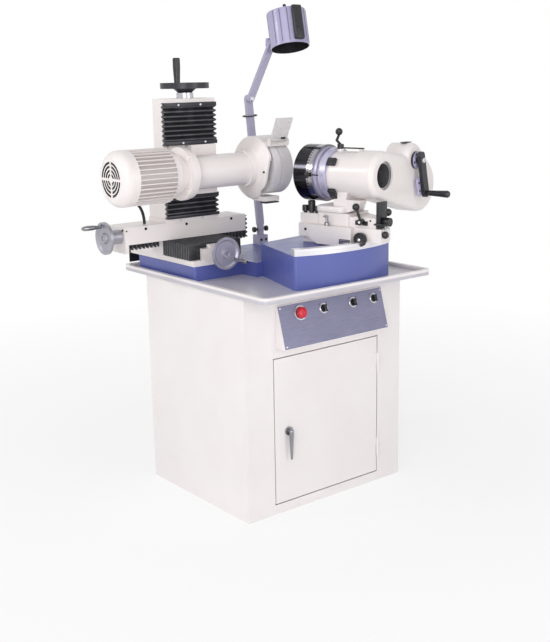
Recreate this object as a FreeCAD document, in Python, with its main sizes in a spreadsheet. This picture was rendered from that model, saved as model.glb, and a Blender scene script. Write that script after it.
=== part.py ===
import FreeCAD, Part
import math
import operator
import os
from types import SimpleNamespace

import Sketcher

# Drill and tool grinder on a cabinet stand, in millimetres.
# X runs right along the front, Y to the back and Z up.
# The origin is on the floor under the middle of the cabinet.

driving_sizes = {
    # cabinet, door and tray
    "cabinet_wide": 622,
    "cabinet_deep": 516,
    "cabinet_high": 682,
    "sheet_thick": 2,
    "door_centre": 2,
    "door_wide": 416,
    "door_high": 452,
    "door_low": 33,
    "door_gap": 3,
    "door_rim": 18,
    "hinge_low": 86,
    "hinge_high": 366,
    "hinge_long": 64,
    "hinge_radius": 4,
    "hinge_leaf": 18,
    "hinge_pin_radius": 2,
    "handle_inset": 51,
    "handle_height": 256,
    "handle_drop": 85,
    "handle_shaft_radius": 6,
    "cam_long": 70,
    "tray_thick": 18,
    "tray_lip": 10,
    "tray_rim": 14,
    "tray_corner": 25,
    "tray_over_left": 10,
    "tray_over_right": 28,
    "tray_over_front": 111,
    "tray_over_back": 128,
    # control box
    "box_centre": 11,
    "box_wide": 416,
    "box_low": 519,
    "box_tall": 126,
    "box_low_deep": 42,
    "box_top_deep": 6,
    "control_rise": 96,
    "stop_inset": 80,
    "selector_left_inset": 245,
    "selector_middle_inset": 126,
    "selector_right_inset": 40,
    "stop_radius": 17,
    "selector_radius": 11,
    "control_stem_radius": 6,
    # base casting
    "slide_centre": -203,
    "pad_wide": 183,
    "pad_front": 10,
    "pad_back": 332,
    "pad_high": 45,
    "rear_right": 150,
    "rear_front": -60,
    "rear_back": 240,
    "swing_centre_x": 34,
    "swing_centre_y": 135,
    "arc_radius": 478,
    "arc_band": 24,
    "arc_high": 20,
    "plinth_high": 100,
    "plinth_back_left": -80,
    "plinth_back_right": 150,
    "plinth_back_near": -42,
    "plinth_back_far": -3,
    "plinth_left": -189,
    "plinth_right": 232,
    "plinth_front": -400,
    "casting_corner": 10,
    # cross slide
    "bed_wide": 180,
    "bed_flange": 17,
    "rail_wide": 110,
    "rail_high": 34,
    "bed_slot": 28,
    "bed_end": 15,
    "bed_over_back": 48,
    "slide_clearance": 0.3,
    "cross_screw_drop": 15,
    "cross_screw_radius": 8,
    "running_clearance": 0.06,
    "bracket_wide": 64,
    "bracket_over": 26,
    "saddle_wide": 194,
    "saddle_long": 152,
    "saddle_set_back": 30,
    "saddle_thick": 17,
    "way_wide": 80,
    "way_high": 14,
    # long slide
    "table_middle": 190,
    "table_deep": 100,
    "table_left": -438,
    "table_right": 0,
    "table_thick": 39,
    "end_plate_thick": 12,
    "end_plate_drop": 40,
    "long_screw_inset": 20,
    "long_screw_rise": 11,
    "long_screw_radius": 7,
    "nut_long": 26,
    "nut_wall": 6.7,
    # column and lift
    "column_centre": -209,
    "column_wide": 182,
    "column_deep": 52,
    "column_front": 143,
    "column_high": 361,
    "foot_wide": 190,
    "foot_thick": 12,
    "foot_forward": 11,
    "foot_back": 43,
    "buttress_high": 62,
    "cap_thick": 12,
    "lift_channel_wide": 110,
    "lift_channel_deep": 25,
    "lift_screw_inset": 9,
    "lift_screw_radius": 9,
    "bellows_wide": 190,
    "bellows_deep": 18,
    "pleat_deep": 7,
    "pleat_pitch": 9,
    "bellows_hollow": 10,
    # grinding head
    "spindle_forward": 88,
    "spindle_rise": 156,
    "head_wide": 150,
    "head_thick": 7,
    "head_below": 72,
    "head_above": 78,
    "cradle_left": 12,
    "cradle_right": 80,
    "cradle_high": 76,
    "cradle_deep": 33,
    "tube_radius": 50.5,
    "tube_left": 68,
    "tube_long": 226,
    "bearing_radius": 36,
    "bearing_wide": 18,
    "bearing_inset": 10,
    "shaft_radius": 15,
    "motor_bell_long": 79,
    "motor_fins_long": 128,
    "motor_root_radius": 73,
    "motor_fin_radius": 81,
    "fin_thick": 3,
    "flange_radius": 79,
    "flange_thick": 14,
    "rotor_radius": 45,
    "rotor_long": 110,
    "air_gap": 0.5,
    "cowl_long": 51,
    "cowl_radius": 81.5,
    "cowl_wall": 2,
    "cowl_round": 28,
    "grille_radius": 50,
    "grille_ring": 5,
    "grille_step": 11,
    "grille_spoke": 7,
    "fan_radius": 66,
    "fan_wide": 22,
    "gland_from_cowl": 66,
    "gland_radius": 9,
    "gland_high": 8,
    "gland_turn": 58,
    "cable_radius": 4.5,
    "cable_run": 40,
    "cable_from_column": 148,
    "cable_back": 36,
    # wheels, guard and shield
    "wheel_radius": 84,
    "wheel_wide": 28,
    "cup_wide": 46,
    "cup_groove": 4,
    "cup_groove_deep": 7,
    "cup_recess_radius": 60,
    "cup_recess_deep": 28,
    "arbor_radius": 12.7,
    "arbor_flange_radius": 35,
    "arbor_flange_thick": 8,
    "wheel_from_tube": 42,
    "nut_radius": 20,
    "nut_thick": 14,
    "guard_radius": 98,
    "guard_wall": 4,
    "guard_collar": 21,
    "guard_collar_wall": 7,
    "guard_flare": 14,
    "guard_lip": 6,
    "guard_reach": 20,
    "guard_rear_reach": 54,
    "strap_back": 24,
    "strap_front": 66,
    "strap_reach": 112,
    "rest_front": 65,
    "rest_back": 5,
    "rest_thick": 14,
    "rest_rise": 11,
    "rest_reach": 74,
    "shield_wide": 66,
    "shield_long": 75,
    "shield_thick": 3,
    "shield_lean": 26,
    "shield_pin_radius": 2.5,
    "shield_barrel_radius": 5,
    "shield_lug": 6,
    # handwheels
    "disc_radius": 49,
    "disc_thick": 12,
    "disc_dish": 5,
    "disc_hub_radius": 17,
    "cross_dial": 33,
    "long_dial": 44,
    "grip_offset": 36,
    "grip_pin_radius": 3.5,
    "grip_long": 62,
    "grip_radius": 8,
    "rim_radius": 69.5,
    "rim_thick": 8,
    "lift_hub_radius": 21,
    "lift_hub_high": 30,
    "collar_radius": 26,
    "collar_high": 16,
    "lift_grip_long": 72,
    "lift_grip_radius": 11,
    # lamp
    "lamp_x": 122,
    "lamp_y": 220,
    "bracket_deep": 36,
    "lamp_bracket_high": 32,
    "lamp_pin_radius": 7,
    "lamp_pin_high": 26,
    "lamp_arm_wide": 26,
    "lamp_arm_thick": 12,
    "lamp_lower_rise": 452,
    "lamp_lower_lean": 38,
    "lamp_upper_run": 94,
    "lamp_upper_rise": 178,
    "lamp_pivot_radius": 5,
    "lamp_head_radius": 63,
    "lamp_head_high": 115,
    "lamp_ear_reach": 41,
    "lamp_bridge_deep": 40,
    "lamp_head_wall": 2.5,
    "lamp_head_tilt": 4.3,
    "lamp_head_lean": 15.4,
    "lamp_head_across": 7,
    "lamp_head_forward": 93,
    "lamp_head_drop": 19,
    # work head
    "swing_angle": 12.4,
    "base_wide": 120,
    "base_near": 533,
    "base_far": 229,
    "base_thick": 40,
    "shoe_wide": 80,
    "shoe_long": 72,
    "apron_thick": 20,
    "apron_gap": 16,
    "apron_long": 124,
    "apron_slope": 30,
    "apron_lift": 4,
    "guide_wide": 60,
    "guide_high": 8,
    "guide_near": 440,
    "cut_back": 95,
    "slide_wide": 100,
    "slide_near": 507,
    "slide_thick": 30,
    "skirt_wide": 114,
    "skirt_near": 414,
    "skirt_far": 298,
    "skirt_high": 37,
    "skirt_corner": 10,
    "ledge_wide": 128,
    "ledge_near": 402,
    "ledge_far": 290,
    "ledge_thick": 21,
    "ledge_corner": 26,
    "ledge_edge": 8,
    "neck_wide": 92,
    "neck_near": 417,
    "neck_waist": 392,
    "neck_far": 352,
    "web_wide": 34,
    "web_near": 450,
    "web_drop": 24,
    "work_rise": 190,
    "barrel_radius": 68,
    "barrel_near": 427,
    "barrel_far": 311,
    "work_spindle_radius": 48,
    "work_bore_radius": 36,
    "drum_radius": 86,
    "drum_far": 226,
    "drum_step": 30,
    "drum_edge": 5,
    "ring_radius": 79,
    "ring_thick": 11,
    "cover_radius": 72,
    "cover_near": 505,
    "cover_deep": 78,
    "cover_wall": 6,
    "cover_hole_radius": 42,
    "lobe_across": 208,
    "lobe_drop": 45,
    "lobe_radius": 82,
    "crank_across": 167,
    "crank_rise": 34,
    "boss_radius": 51,
    "cover_edge": 16,
    "idler_pin_radius": 8,
    "gear_wide": 18,
    "gear_inset": 28,
    "crank_shaft_radius": 10,
    "crank_flange_radius": 26,
    "crank_flange_thick": 7,
    "crank_stand": 9,
    "crank_arm_wide": 26,
    "crank_arm_thick": 12,
    "crank_throw": 104,
    "crank_over": 14,
    "crank_turn": 14,
    "crank_grip_long": 76,
    "crank_grip_radius": 11,
    "crank_pin_radius": 4,
    # small levers on the work head
    "feed_screw_radius": 6,
    "feed_knob_radius": 13,
    "feed_knob_long": 34,
    "ball_radius": 11,
    "lever_stem_radius": 4,
    "lever_rise": 46,
    "lever_lean": 22,
    "lever_hub_radius": 9,
    "lever_hub_long": 18,
    "lever_near": 460,
    "lever_pin_radius": 4,
    "index_near": 346,
    "index_boss_radius": 11,
    "index_boss_high": 6,
    "index_hub_high": 14,
    "index_reach": 20,
    "index_rise": 26,
    "index_tip_rise": 16,
    "lock_inset": 94,
    "lock_radius": 5,
    "lock_high": 32,
    "lock_pin_radius": 3,
}

spindle_gear_teeth = 48
idler_gear_teeth = 36
crank_pinion_teeth = 24
motor_fin_count = 36
fan_blade_count = 7
handwheel_spokes = 3
bend_steps = 6

document = FreeCAD.newDocument("drill_grinder")
sheet = document.addObject("Spreadsheet::Sheet", "dims")
for row, (alias, number) in enumerate(driving_sizes.items(), 1):
    sheet.set("A%d" % row, alias)
    sheet.set("B%d" % row, str(number))
    sheet.setAlias("B%d" % row, alias)
document.recompute()


class Size:
    # A number that also keeps the sheet formula it comes from.
    def __init__(self, formula, value):
        self.formula = formula
        self.value = value

    def __float__(self):
        return float(self.value)

    def __add__(self, other):
        return combined(operator.add, "+", self, other)

    def __radd__(self, other):
        return combined(operator.add, "+", other, self)

    def __sub__(self, other):
        return combined(operator.sub, "-", self, other)

    def __rsub__(self, other):
        return combined(operator.sub, "-", other, self)

    def __mul__(self, other):
        return combined(operator.mul, "*", self, other)

    def __rmul__(self, other):
        return combined(operator.mul, "*", other, self)

    def __truediv__(self, other):
        return combined(operator.truediv, "/", self, other)

    def __neg__(self):
        return combined(operator.sub, "-", 0, self)


def formula_of(number):
    return number.formula if isinstance(number, Size) else "(%r)" % number


def combined(action, sign, left, right):
    formula = "(%s %s %s)" % (formula_of(left), sign, formula_of(right))
    return Size(formula, action(float(left), float(right)))


def cosine(angle):
    return Size("cos(%s * 1 deg)" % formula_of(angle), math.cos(math.radians(float(angle))))


def sine(angle):
    return Size("sin(%s * 1 deg)" % formula_of(angle), math.sin(math.radians(float(angle))))


def slope_angle(rise, run):
    value = math.degrees(math.atan(float(rise) / float(run)))
    return Size("(atan(%s / %s) / 1 deg)" % (formula_of(rise), formula_of(run)), value)


def hypotenuse(first, second):
    total = first * first + second * second
    return Size("sqrt(%s)" % total.formula, math.sqrt(float(total)))


size = SimpleNamespace(**{alias: Size("dims." + alias, float(sheet.get(alias))) for alias in driving_sizes})

x_axis = FreeCAD.Vector(1, 0, 0)
y_axis = FreeCAD.Vector(0, 1, 0)
z_axis = FreeCAD.Vector(0, 0, 1)
turns = {
    "z": FreeCAD.Rotation(),
    "x": FreeCAD.Rotation(y_axis, 90),
    "-x": FreeCAD.Rotation(y_axis, -90),
    "y": FreeCAD.Rotation(x_axis, -90),
    "-y": FreeCAD.Rotation(x_axis, 90),
    "-z": FreeCAD.Rotation(x_axis, 180),
}
profile_along_x = FreeCAD.Rotation(FreeCAD.Vector(1, 1, 1), 120)

nodes = []


def bind(item, name, number):
    if isinstance(number, Size):
        item.setExpression(name, number.formula)
    else:
        setattr(item, name, number)


def place(item, at, turn=None):
    item.Placement = FreeCAD.Placement(FreeCAD.Vector(*[float(number) for number in at]),
                                       turn or FreeCAD.Rotation())
    for letter, number in zip("xyz", at):
        if isinstance(number, Size):
            item.setExpression("Placement.Base." + letter, number.formula)


def turn_by(item, axis, angle):
    item.Placement.Rotation = FreeCAD.Rotation(axis, float(angle))
    item.setExpression("Placement.Rotation.Angle", formula_of(angle))


def block(name, across, deep, tall):
    item = document.addObject("Part::Box", name)
    for dimension, (low, high) in zip(("Length", "Width", "Height"), (across, deep, tall)):
        bind(item, dimension, high - low)
    place(item, (across[0], deep[0], tall[0]))
    return item


def rod(name, radius, start, length, along="z"):
    item = document.addObject("Part::Cylinder", name)
    bind(item, "Radius", radius)
    bind(item, "Height", length)
    place(item, start, turns[along])
    return item


def taper(name, first_radius, last_radius, start, length, along="z"):
    item = document.addObject("Part::Cone", name)
    bind(item, "Radius1", first_radius)
    bind(item, "Radius2", last_radius)
    bind(item, "Height", length)
    place(item, start, turns[along])
    return item


def ball(name, radius, centre):
    item = document.addObject("Part::Sphere", name)
    bind(item, "Radius", radius)
    place(item, centre)
    return item


def join(name, *items):
    item = document.addObject("Part::MultiFuse", name)
    item.Shapes = list(items)
    item.Refine = True
    return item


def cut(name, base, *tools):
    item = document.addObject("Part::Cut", name)
    item.Base = base
    item.Tool = tools[0] if len(tools) == 1 else join(name + "_tools", *tools)
    return item


def shared(name, first, second):
    item = document.addObject("Part::Common", name)
    item.Base = first
    item.Tool = second
    return item


def group(name, *items):
    item = document.addObject("Part::Compound", name)
    item.Links = list(items)
    return item


def rounded(name, base, radius, picked):
    document.recompute()
    item = document.addObject("Part::Fillet", name)
    item.Base = base
    amount = float(radius)
    item.Edges = [(number, amount, amount) for number, edge in enumerate(base.Shape.Edges, 1)
                  if picked(edge)]
    return item


def upright(edge):
    ends = [vertex.Point for vertex in edge.Vertexes]
    return len(ends) == 2 and abs(ends[0].x - ends[1].x) < 1e-6 and abs(ends[0].y - ends[1].y) < 1e-6


def outline(body, name, role, points):
    sketch = body.newObject("Sketcher::SketchObject", name)
    support = next(feature for feature in body.Origin.OriginFeatures if feature.Role == role)
    sketch.AttachmentSupport = [(support, "")]
    sketch.MapMode = "FlatFace"
    corners = [FreeCAD.Vector(float(across), float(up), 0) for across, up in points]
    for first, second in zip(corners, corners[1:] + corners[:1]):
        sketch.addGeometry(Part.LineSegment(first, second), False)
    for line in range(len(points)):
        sketch.addConstraint(Sketcher.Constraint("Coincident", line, 2, (line + 1) % len(points), 1))
    for line, point in enumerate(points):
        for kind, number, sketch_axis in zip(("DistanceX", "DistanceY"), point, (-2, -1)):
            if float(number) == 0:
                sketch.addConstraint(Sketcher.Constraint("PointOnObject", line, 1, sketch_axis))
                continue
            rule = sketch.addConstraint(Sketcher.Constraint(kind, -1, 1, line, 1, float(number)))
            if isinstance(number, Size):
                sketch.setExpression("Constraints[%d]" % rule, number.formula)
    return sketch


def turned(name, profile, at=(0, 0, 0), along="z"):
    # A lathe piece: the profile lists (distance along the axis, radius).
    body = document.addObject("PartDesign::Body", name)
    sketch = outline(body, name + "_profile", "XZ_Plane", [(radius, reach) for reach, radius in profile])
    feature = body.newObject("PartDesign::Revolution", name + "_turn")
    feature.Profile = sketch
    feature.ReferenceAxis = (sketch, ["V_Axis"])
    feature.Angle = 360
    place(body, at, turns[along])
    return body


def prism(name, corners, low, high, turn=None):
    body = document.addObject("PartDesign::Body", name)
    feature = body.newObject("PartDesign::Pad", name + "_pad")
    feature.Profile = outline(body, name + "_outline", "XY_Plane", corners)
    bind(feature, "Length", high - low)
    at = (low, 0, 0) if turn is not None else (0, 0, low)
    place(body, at, turn)
    return body


def formed(name, shape):
    item = document.addObject("Part::Feature", name)
    item.Shape = shape
    return item


def node(item, name):
    item.Label = name
    nodes.append(item)
    return item


def swung(name, *items):
    # A work head piece, drawn square to the swing centre and turned to its rest angle.
    item = group(name + "_swung", *items)
    place(item, (size.swing_centre_x, size.swing_centre_y, 0))
    turn_by(item, z_axis, size.swing_angle)
    return node(item, name)


def both_sides(centre, wide):
    return centre - wide / 2, centre + wide / 2


# levels and places that follow from the driving sizes
front = -size.cabinet_deep / 2
door_left = size.door_centre - size.door_wide / 2
door_right = size.door_centre + size.door_wide / 2
door_top = size.door_low + size.door_high
hinge_x = door_right + size.door_gap / 2
hinge_y = front - size.hinge_radius - 0.5
handle_x = door_left + size.handle_inset
tray_floor = size.cabinet_high + size.tray_thick - size.tray_lip
pad_top = tray_floor + size.pad_high
plinth_top = tray_floor + size.plinth_high
arc_top = plinth_top + size.arc_high
bed_top = pad_top + size.bed_flange
rail_top = bed_top + size.rail_high
saddle_top = rail_top + size.saddle_thick
way_top = saddle_top + size.way_high
table_top = way_top + size.table_thick
table_front = size.table_middle - size.table_deep / 2
table_back = size.table_middle + size.table_deep / 2
saddle_front = table_front + size.saddle_set_back
saddle_back = saddle_front + size.saddle_long
cross_screw_z = rail_top - size.cross_screw_drop
cross_bore = size.cross_screw_radius + size.running_clearance
bracket_back = size.pad_front + size.bed_end
bed_back = size.pad_back + size.bed_over_back
long_screw_y = size.table_middle - size.long_screw_inset
long_screw_z = way_top + size.long_screw_rise
long_bore = size.long_screw_radius + size.running_clearance
end_plate_left = size.table_left - size.end_plate_thick
foot_top = table_top + size.foot_thick
column_top = table_top + size.column_high
cap_top = column_top + size.cap_thick
column_back = size.column_front + size.column_deep
lift_screw_y = size.column_front + size.lift_screw_inset
lift_bore = size.lift_screw_radius + size.running_clearance
spindle_y = size.column_front - size.spindle_forward
spindle_z = table_top + size.spindle_rise
head_low = spindle_z - size.head_below
head_high = spindle_z + size.head_above
tube_start = size.column_centre - size.tube_left
tube_end = tube_start + size.tube_long
fins_end = tube_start - size.motor_bell_long
fins_start = fins_end - size.motor_fins_long
cowl_start = fins_start - size.cowl_long
wheel_start = tube_end + size.wheel_from_tube
wheel_end = wheel_start + size.wheel_wide
cup_end = wheel_end + size.cup_wide
base_top = arc_top + size.base_thick
slide_top = base_top + size.slide_thick
work_z = arc_top + size.work_rise
crank_z = work_z + size.crank_rise
gear_centres = hypotenuse(size.crank_across, size.crank_rise)
gear_far = -size.cover_near + size.gear_inset + size.gear_wide
gear_module = gear_centres / 68.2
lamp_tilt_z = pad_top + size.lamp_bracket_high
apron_near = size.arc_radius - size.arc_band - size.apron_gap
apron_far = apron_near - size.apron_long
lock_near = apron_near - size.lock_inset
box_left, box_right = both_sides(size.box_centre, size.box_wide)
stop_x = box_left + size.stop_inset
selector_places = (
    box_right - size.selector_left_inset,
    box_right - size.selector_middle_inset,
    box_right - size.selector_right_inset,
)
plate_run = size.box_low_deep - size.box_top_deep
plate_tilt = slope_angle(plate_run, size.box_tall)


def cabinet():
    across = both_sides(0, size.cabinet_wide)
    outer = block("cabinet_outer", across, (front, -front), (0, size.cabinet_high))
    thick = size.sheet_thick
    inner = block(
        "cabinet_inner",
        (across[0] + thick, across[1] - thick),
        (front + thick, -front - thick),
        (thick, size.cabinet_high - thick),
    )
    opening = block(
        "door_opening",
        (door_left - size.door_gap, door_right + size.door_gap),
        (front - thick, front + thick * 2),
        (size.door_low - size.door_gap, door_top + size.door_gap),
    )
    node(cut("cabinet_shell", outer, inner, opening), "cabinet_shell")


def tray():
    left = -size.cabinet_wide / 2 - size.tray_over_left
    right = size.cabinet_wide / 2 + size.tray_over_right
    near = front - size.tray_over_front
    far = -front + size.tray_over_back
    top = size.cabinet_high + size.tray_thick
    rim = size.tray_rim
    slab = block("tray_slab", (left, right), (near, far), (size.cabinet_high, top))
    well = block("tray_well_block", (left + rim, right - rim), (near + rim, far - rim),
                 (tray_floor, top + rim))
    slab = rounded("tray_slab_round", slab, size.tray_corner, upright)
    well = rounded("tray_well", well, size.tray_corner - rim, upright)
    node(cut("worktop_tray", slab, well), "worktop_tray")


def door():
    across = both_sides(size.door_centre, size.door_wide)
    thick = size.sheet_thick
    pan = block("door_pan", across, (front, front + size.door_rim), (size.door_low, door_top))
    hollow = block(
        "door_hollow",
        (across[0] + thick, across[1] - thick),
        (front + thick, front + size.door_rim * 2),
        (size.door_low + thick, door_top - thick),
    )
    shaft_hole = rod(
        "handle_hole",
        size.handle_shaft_radius + size.running_clearance,
        (handle_x, front - thick, size.handle_height),
        thick * 3,
        "y",
    )
    pieces = [cut("door_sheet", pan, hollow, shaft_hole)]
    fixed = []
    half = size.hinge_long / 2
    for place_name, low in (("low", size.hinge_low), ("high", size.hinge_high)):
        moving_low = low + half + size.slide_clearance
        moving_high = low + size.hinge_long
        leaf = block(
            "door_leaf_" + place_name,
            (hinge_x - size.hinge_leaf, hinge_x),
            (front - thick, front),
            (moving_low, moving_high),
        )
        barrel = rod("door_barrel_" + place_name, size.hinge_radius, (hinge_x, hinge_y, moving_low),
                     moving_high - moving_low)
        bore = rod("door_bore_" + place_name, size.hinge_pin_radius + size.running_clearance,
                   (hinge_x, hinge_y, low), size.hinge_long * 2)
        pieces.append(cut("door_knuckle_" + place_name, join("door_hinge_" + place_name, leaf, barrel),
                          bore))
        plate = block(
            "fixed_leaf_" + place_name,
            (hinge_x, hinge_x + size.hinge_leaf),
            (front - thick, front),
            (low, low + half),
        )
        stub = rod("fixed_barrel_" + place_name, size.hinge_radius, (hinge_x, hinge_y, low), half)
        pin = rod("hinge_pin_" + place_name, size.hinge_pin_radius, (hinge_x, hinge_y, low),
                  size.hinge_long - size.sheet_thick)
        fixed.append(join("fixed_hinge_" + place_name, plate, stub, pin))
    node(join("cabinet_door", *pieces), "cabinet_door")
    node(group("door_hinges", *fixed), "door_hinges")


def door_handle():
    radius = size.handle_shaft_radius
    lever_y = front - radius * 2.4
    cam_y = front + size.door_rim + 4
    rosette = rod("handle_rosette", radius * 2.2, (handle_x, front - radius, size.handle_height),
                  radius - size.slide_clearance, "y")
    shaft = rod("handle_shaft", radius, (handle_x, lever_y, size.handle_height), cam_y - lever_y + 4, "y")
    lever = taper("handle_lever", radius * 1.3, radius * 0.6, (handle_x, lever_y, size.handle_height),
                  size.handle_drop, "-z")
    crown = ball("handle_crown", radius * 1.3, (handle_x, lever_y, size.handle_height))
    tip = ball("handle_tip", radius * 0.6, (handle_x, lever_y, size.handle_height - size.handle_drop))
    cam = block(
        "handle_cam",
        (handle_x - radius * 1.5, handle_x + radius * 1.5),
        (cam_y, cam_y + 4),
        (size.handle_height - size.cam_long, size.handle_height + radius * 1.6),
    )
    node(join("door_handle", rosette, shaft, lever, crown, tip, cam), "door_handle")


def plate_point(across):
    # A place on the sloping control plate, at the height of the buttons.
    up = size.box_low + size.control_rise
    return across, front - size.box_low_deep + size.control_rise * plate_run / size.box_tall, up


def on_plate(name, across, *items):
    item = group(name + "_set", *items)
    place(item, plate_point(across))
    turn_by(item, x_axis, 90 - plate_tilt)
    return item


def control_box():
    thick = size.sheet_thick
    top = size.box_low + size.box_tall
    across = (box_left, box_right)
    outer = prism(
        "box_outer",
        [(front, size.box_low), (front - size.box_low_deep, size.box_low), (front - size.box_top_deep, top),
         (front, top)],
        across[0],
        across[1],
        profile_along_x,
    )
    inner = prism(
        "box_inner",
        [
            (front + thick, size.box_low + thick),
            (front - size.box_low_deep + thick * 2, size.box_low + thick),
            (front - size.box_top_deep + thick * 2, top - thick),
            (front + thick, top - thick),
        ],
        across[0] + thick,
        across[1] - thick,
        profile_along_x,
    )
    holes = []
    for number, spot in enumerate((stop_x, *selector_places), 1):
        stem = rod("control_hole_rod_%d" % number, size.control_stem_radius + size.running_clearance,
                   (0, 0, -thick * 6),
                   thick * 12)
        holes.append(on_plate("control_hole_%d" % number, spot, stem))
    node(cut("control_box", outer, inner, *holes), "control_box")


def controls():
    stem = size.control_stem_radius
    radius = size.stop_radius
    travel = stem + 1
    mushroom = turned(
        "stop_mushroom",
        [(-stem, 0), (-stem, stem), (travel, stem), (travel, radius), (travel + radius * 0.35, radius),
         (travel + radius * 0.65, radius * 0.75), (travel + radius * 0.75, radius * 0.35),
         (travel + radius * 0.75, 0)],
    )
    node(on_plate("stop_button", stop_x, mushroom), "stop_button")
    knob = size.selector_radius
    for number, across in enumerate(selector_places, 1):
        core = turned(
            "selector_core_%d" % number,
            [(-stem, 0), (-stem, stem), (1, stem), (1, knob), (stem, knob * 0.92), (stem, 0)],
        )
        bar = block("selector_bar_%d" % number, (-knob * 0.35, knob * 0.35), (-knob, knob),
                    (stem - 2, stem + 9))
        label = "selector_knob_%d" % number
        node(on_plate(label, across, join("selector_%d" % number, core, bar)), label)


def plinth_prism(name, low, high):
    corners = [
        (size.plinth_back_left, size.plinth_back_near),
        (size.plinth_left, size.plinth_front),
        (size.plinth_right, size.plinth_front),
        (size.plinth_back_right, size.plinth_back_far),
    ]
    return prism(name, corners, low, high)


def base_casting():
    pad = block("pad", both_sides(size.slide_centre, size.pad_wide), (size.pad_front, size.pad_back),
                (tray_floor, pad_top))
    rear = block("base_rear", (size.slide_centre, size.rear_right), (size.pad_front, size.rear_back),
                 (tray_floor, pad_top))
    link = block("base_link", (size.slide_centre + size.pad_wide / 2, size.rear_right),
                 (size.rear_front, size.rear_back), (tray_floor, pad_top))
    centre = (size.swing_centre_x, size.swing_centre_y)
    disc = rod("plinth_disc", size.arc_radius, (*centre, tray_floor), size.plinth_high)
    plinth = shared("plinth", plinth_prism("plinth_sector", tray_floor, plinth_top), disc)
    corner = size.casting_corner
    pad = rounded("pad_round", pad, corner, upright)
    plinth = rounded("plinth_round", plinth, corner, upright)
    node(join("base_casting", pad, rear, link, plinth), "base_casting")
    band_disc = rod("arc_disc", size.arc_radius, (*centre, plinth_top), size.arc_high)
    band_core = rod("arc_core", size.arc_radius - size.arc_band, (*centre, plinth_top), size.arc_high)
    band = cut("arc_band", band_disc, band_core)
    sector = plinth_prism("arc_sector", plinth_top, arc_top)
    node(shared("scale_arc", sector, band), "scale_arc")


def cross_bed():
    centre = size.slide_centre
    deep = (size.pad_front, bed_back)
    flange = block("bed_flange_plate", both_sides(centre, size.bed_wide), deep, (pad_top, bed_top))
    rail = block("bed_rail", both_sides(centre, size.rail_wide), deep, (bed_top, rail_top))
    bracket = block("bed_bracket", both_sides(centre, size.bracket_wide), (size.pad_front, bracket_back),
                    (bed_top, cross_screw_z + size.bracket_over))
    slot = block("bed_slot_cut", both_sides(centre, size.bed_slot), (bracket_back, bed_back - size.bed_end),
                 (cross_screw_z - size.bed_slot / 2, rail_top + size.rail_high))
    bore = rod("bed_bore", cross_bore, (centre, size.pad_front, cross_screw_z), bed_back - size.pad_front,
               "y")
    node(cut("cross_bed", join("bed_blank", flange, rail, bracket), slot, bore), "cross_bed")


def saddle():
    centre = size.slide_centre
    across = both_sides(centre, size.saddle_wide)
    deep = (saddle_front, saddle_back)
    slab = block("saddle_slab", across, deep, (rail_top, saddle_top))
    inner = both_sides(centre, size.rail_wide + size.slide_clearance * 2)
    gib_low = bed_top + size.slide_clearance
    gib_left = block("saddle_gib_left", (across[0], inner[0]), deep, (gib_low, rail_top))
    gib_right = block("saddle_gib_right", (inner[1], across[1]), deep, (gib_low, rail_top))
    way = block("saddle_way", across, both_sides(size.table_middle, size.way_wide), (saddle_top, way_top))
    nut_across = both_sides(centre, size.nut_long)
    slot_inner = both_sides(centre, size.bed_slot - size.slide_clearance * 2)
    nut_middle = size.table_middle
    cross_nut = block("cross_nut", slot_inner, both_sides(nut_middle, size.nut_long),
                      (cross_screw_z - size.bed_slot / 2 + size.slide_clearance, rail_top))
    nut_half = size.long_screw_radius + size.nut_wall
    long_nut = block("long_nut", nut_across, (long_screw_y - nut_half, long_screw_y + nut_half),
                     (way_top, long_screw_z + nut_half))
    cross_hole = rod("saddle_cross_bore", cross_bore, (centre, saddle_front, cross_screw_z),
                     saddle_back - saddle_front, "y")
    long_hole = rod("saddle_long_bore", long_bore, (across[0], long_screw_y, long_screw_z),
                    size.saddle_wide, "x")
    blank = join("saddle_blank", slab, gib_left, gib_right, way, cross_nut, long_nut)
    node(cut("saddle", blank, cross_hole, long_hole), "saddle")


def long_table():
    across = (size.table_left, size.table_right)
    slab = block("table_slab", across, (table_front, table_back), (way_top, table_top))
    way = both_sides(size.table_middle, size.way_wide + size.slide_clearance * 2)
    apron_low = saddle_top + size.slide_clearance
    front_apron = block("table_front_apron", across, (table_front, way[0]), (apron_low, way_top))
    back_apron = block("table_back_apron", across, (way[1], table_back), (apron_low, way_top))
    channel_half = size.long_screw_radius + size.nut_wall + size.slide_clearance
    channel = block(
        "table_channel",
        (size.table_left - size.end_plate_thick, size.table_right - size.end_plate_thick),
        (long_screw_y - channel_half, long_screw_y + channel_half),
        (way_top - size.way_high, long_screw_z + channel_half),
    )
    bore = rod("table_bore", long_bore, (size.table_left, long_screw_y, long_screw_z),
               size.table_right - size.table_left, "x")
    blank = join("table_blank", slab, front_apron, back_apron)
    node(cut("long_table", blank, channel, bore), "long_table")
    plate = block("end_plate_block", (end_plate_left, size.table_left), (table_front, table_back),
                  (way_top - size.end_plate_drop, table_top))
    hole = rod("end_plate_bore", long_bore, (end_plate_left, long_screw_y, long_screw_z),
               size.end_plate_thick, "x")
    node(cut("table_end_plate", plate, hole), "table_end_plate")


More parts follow.
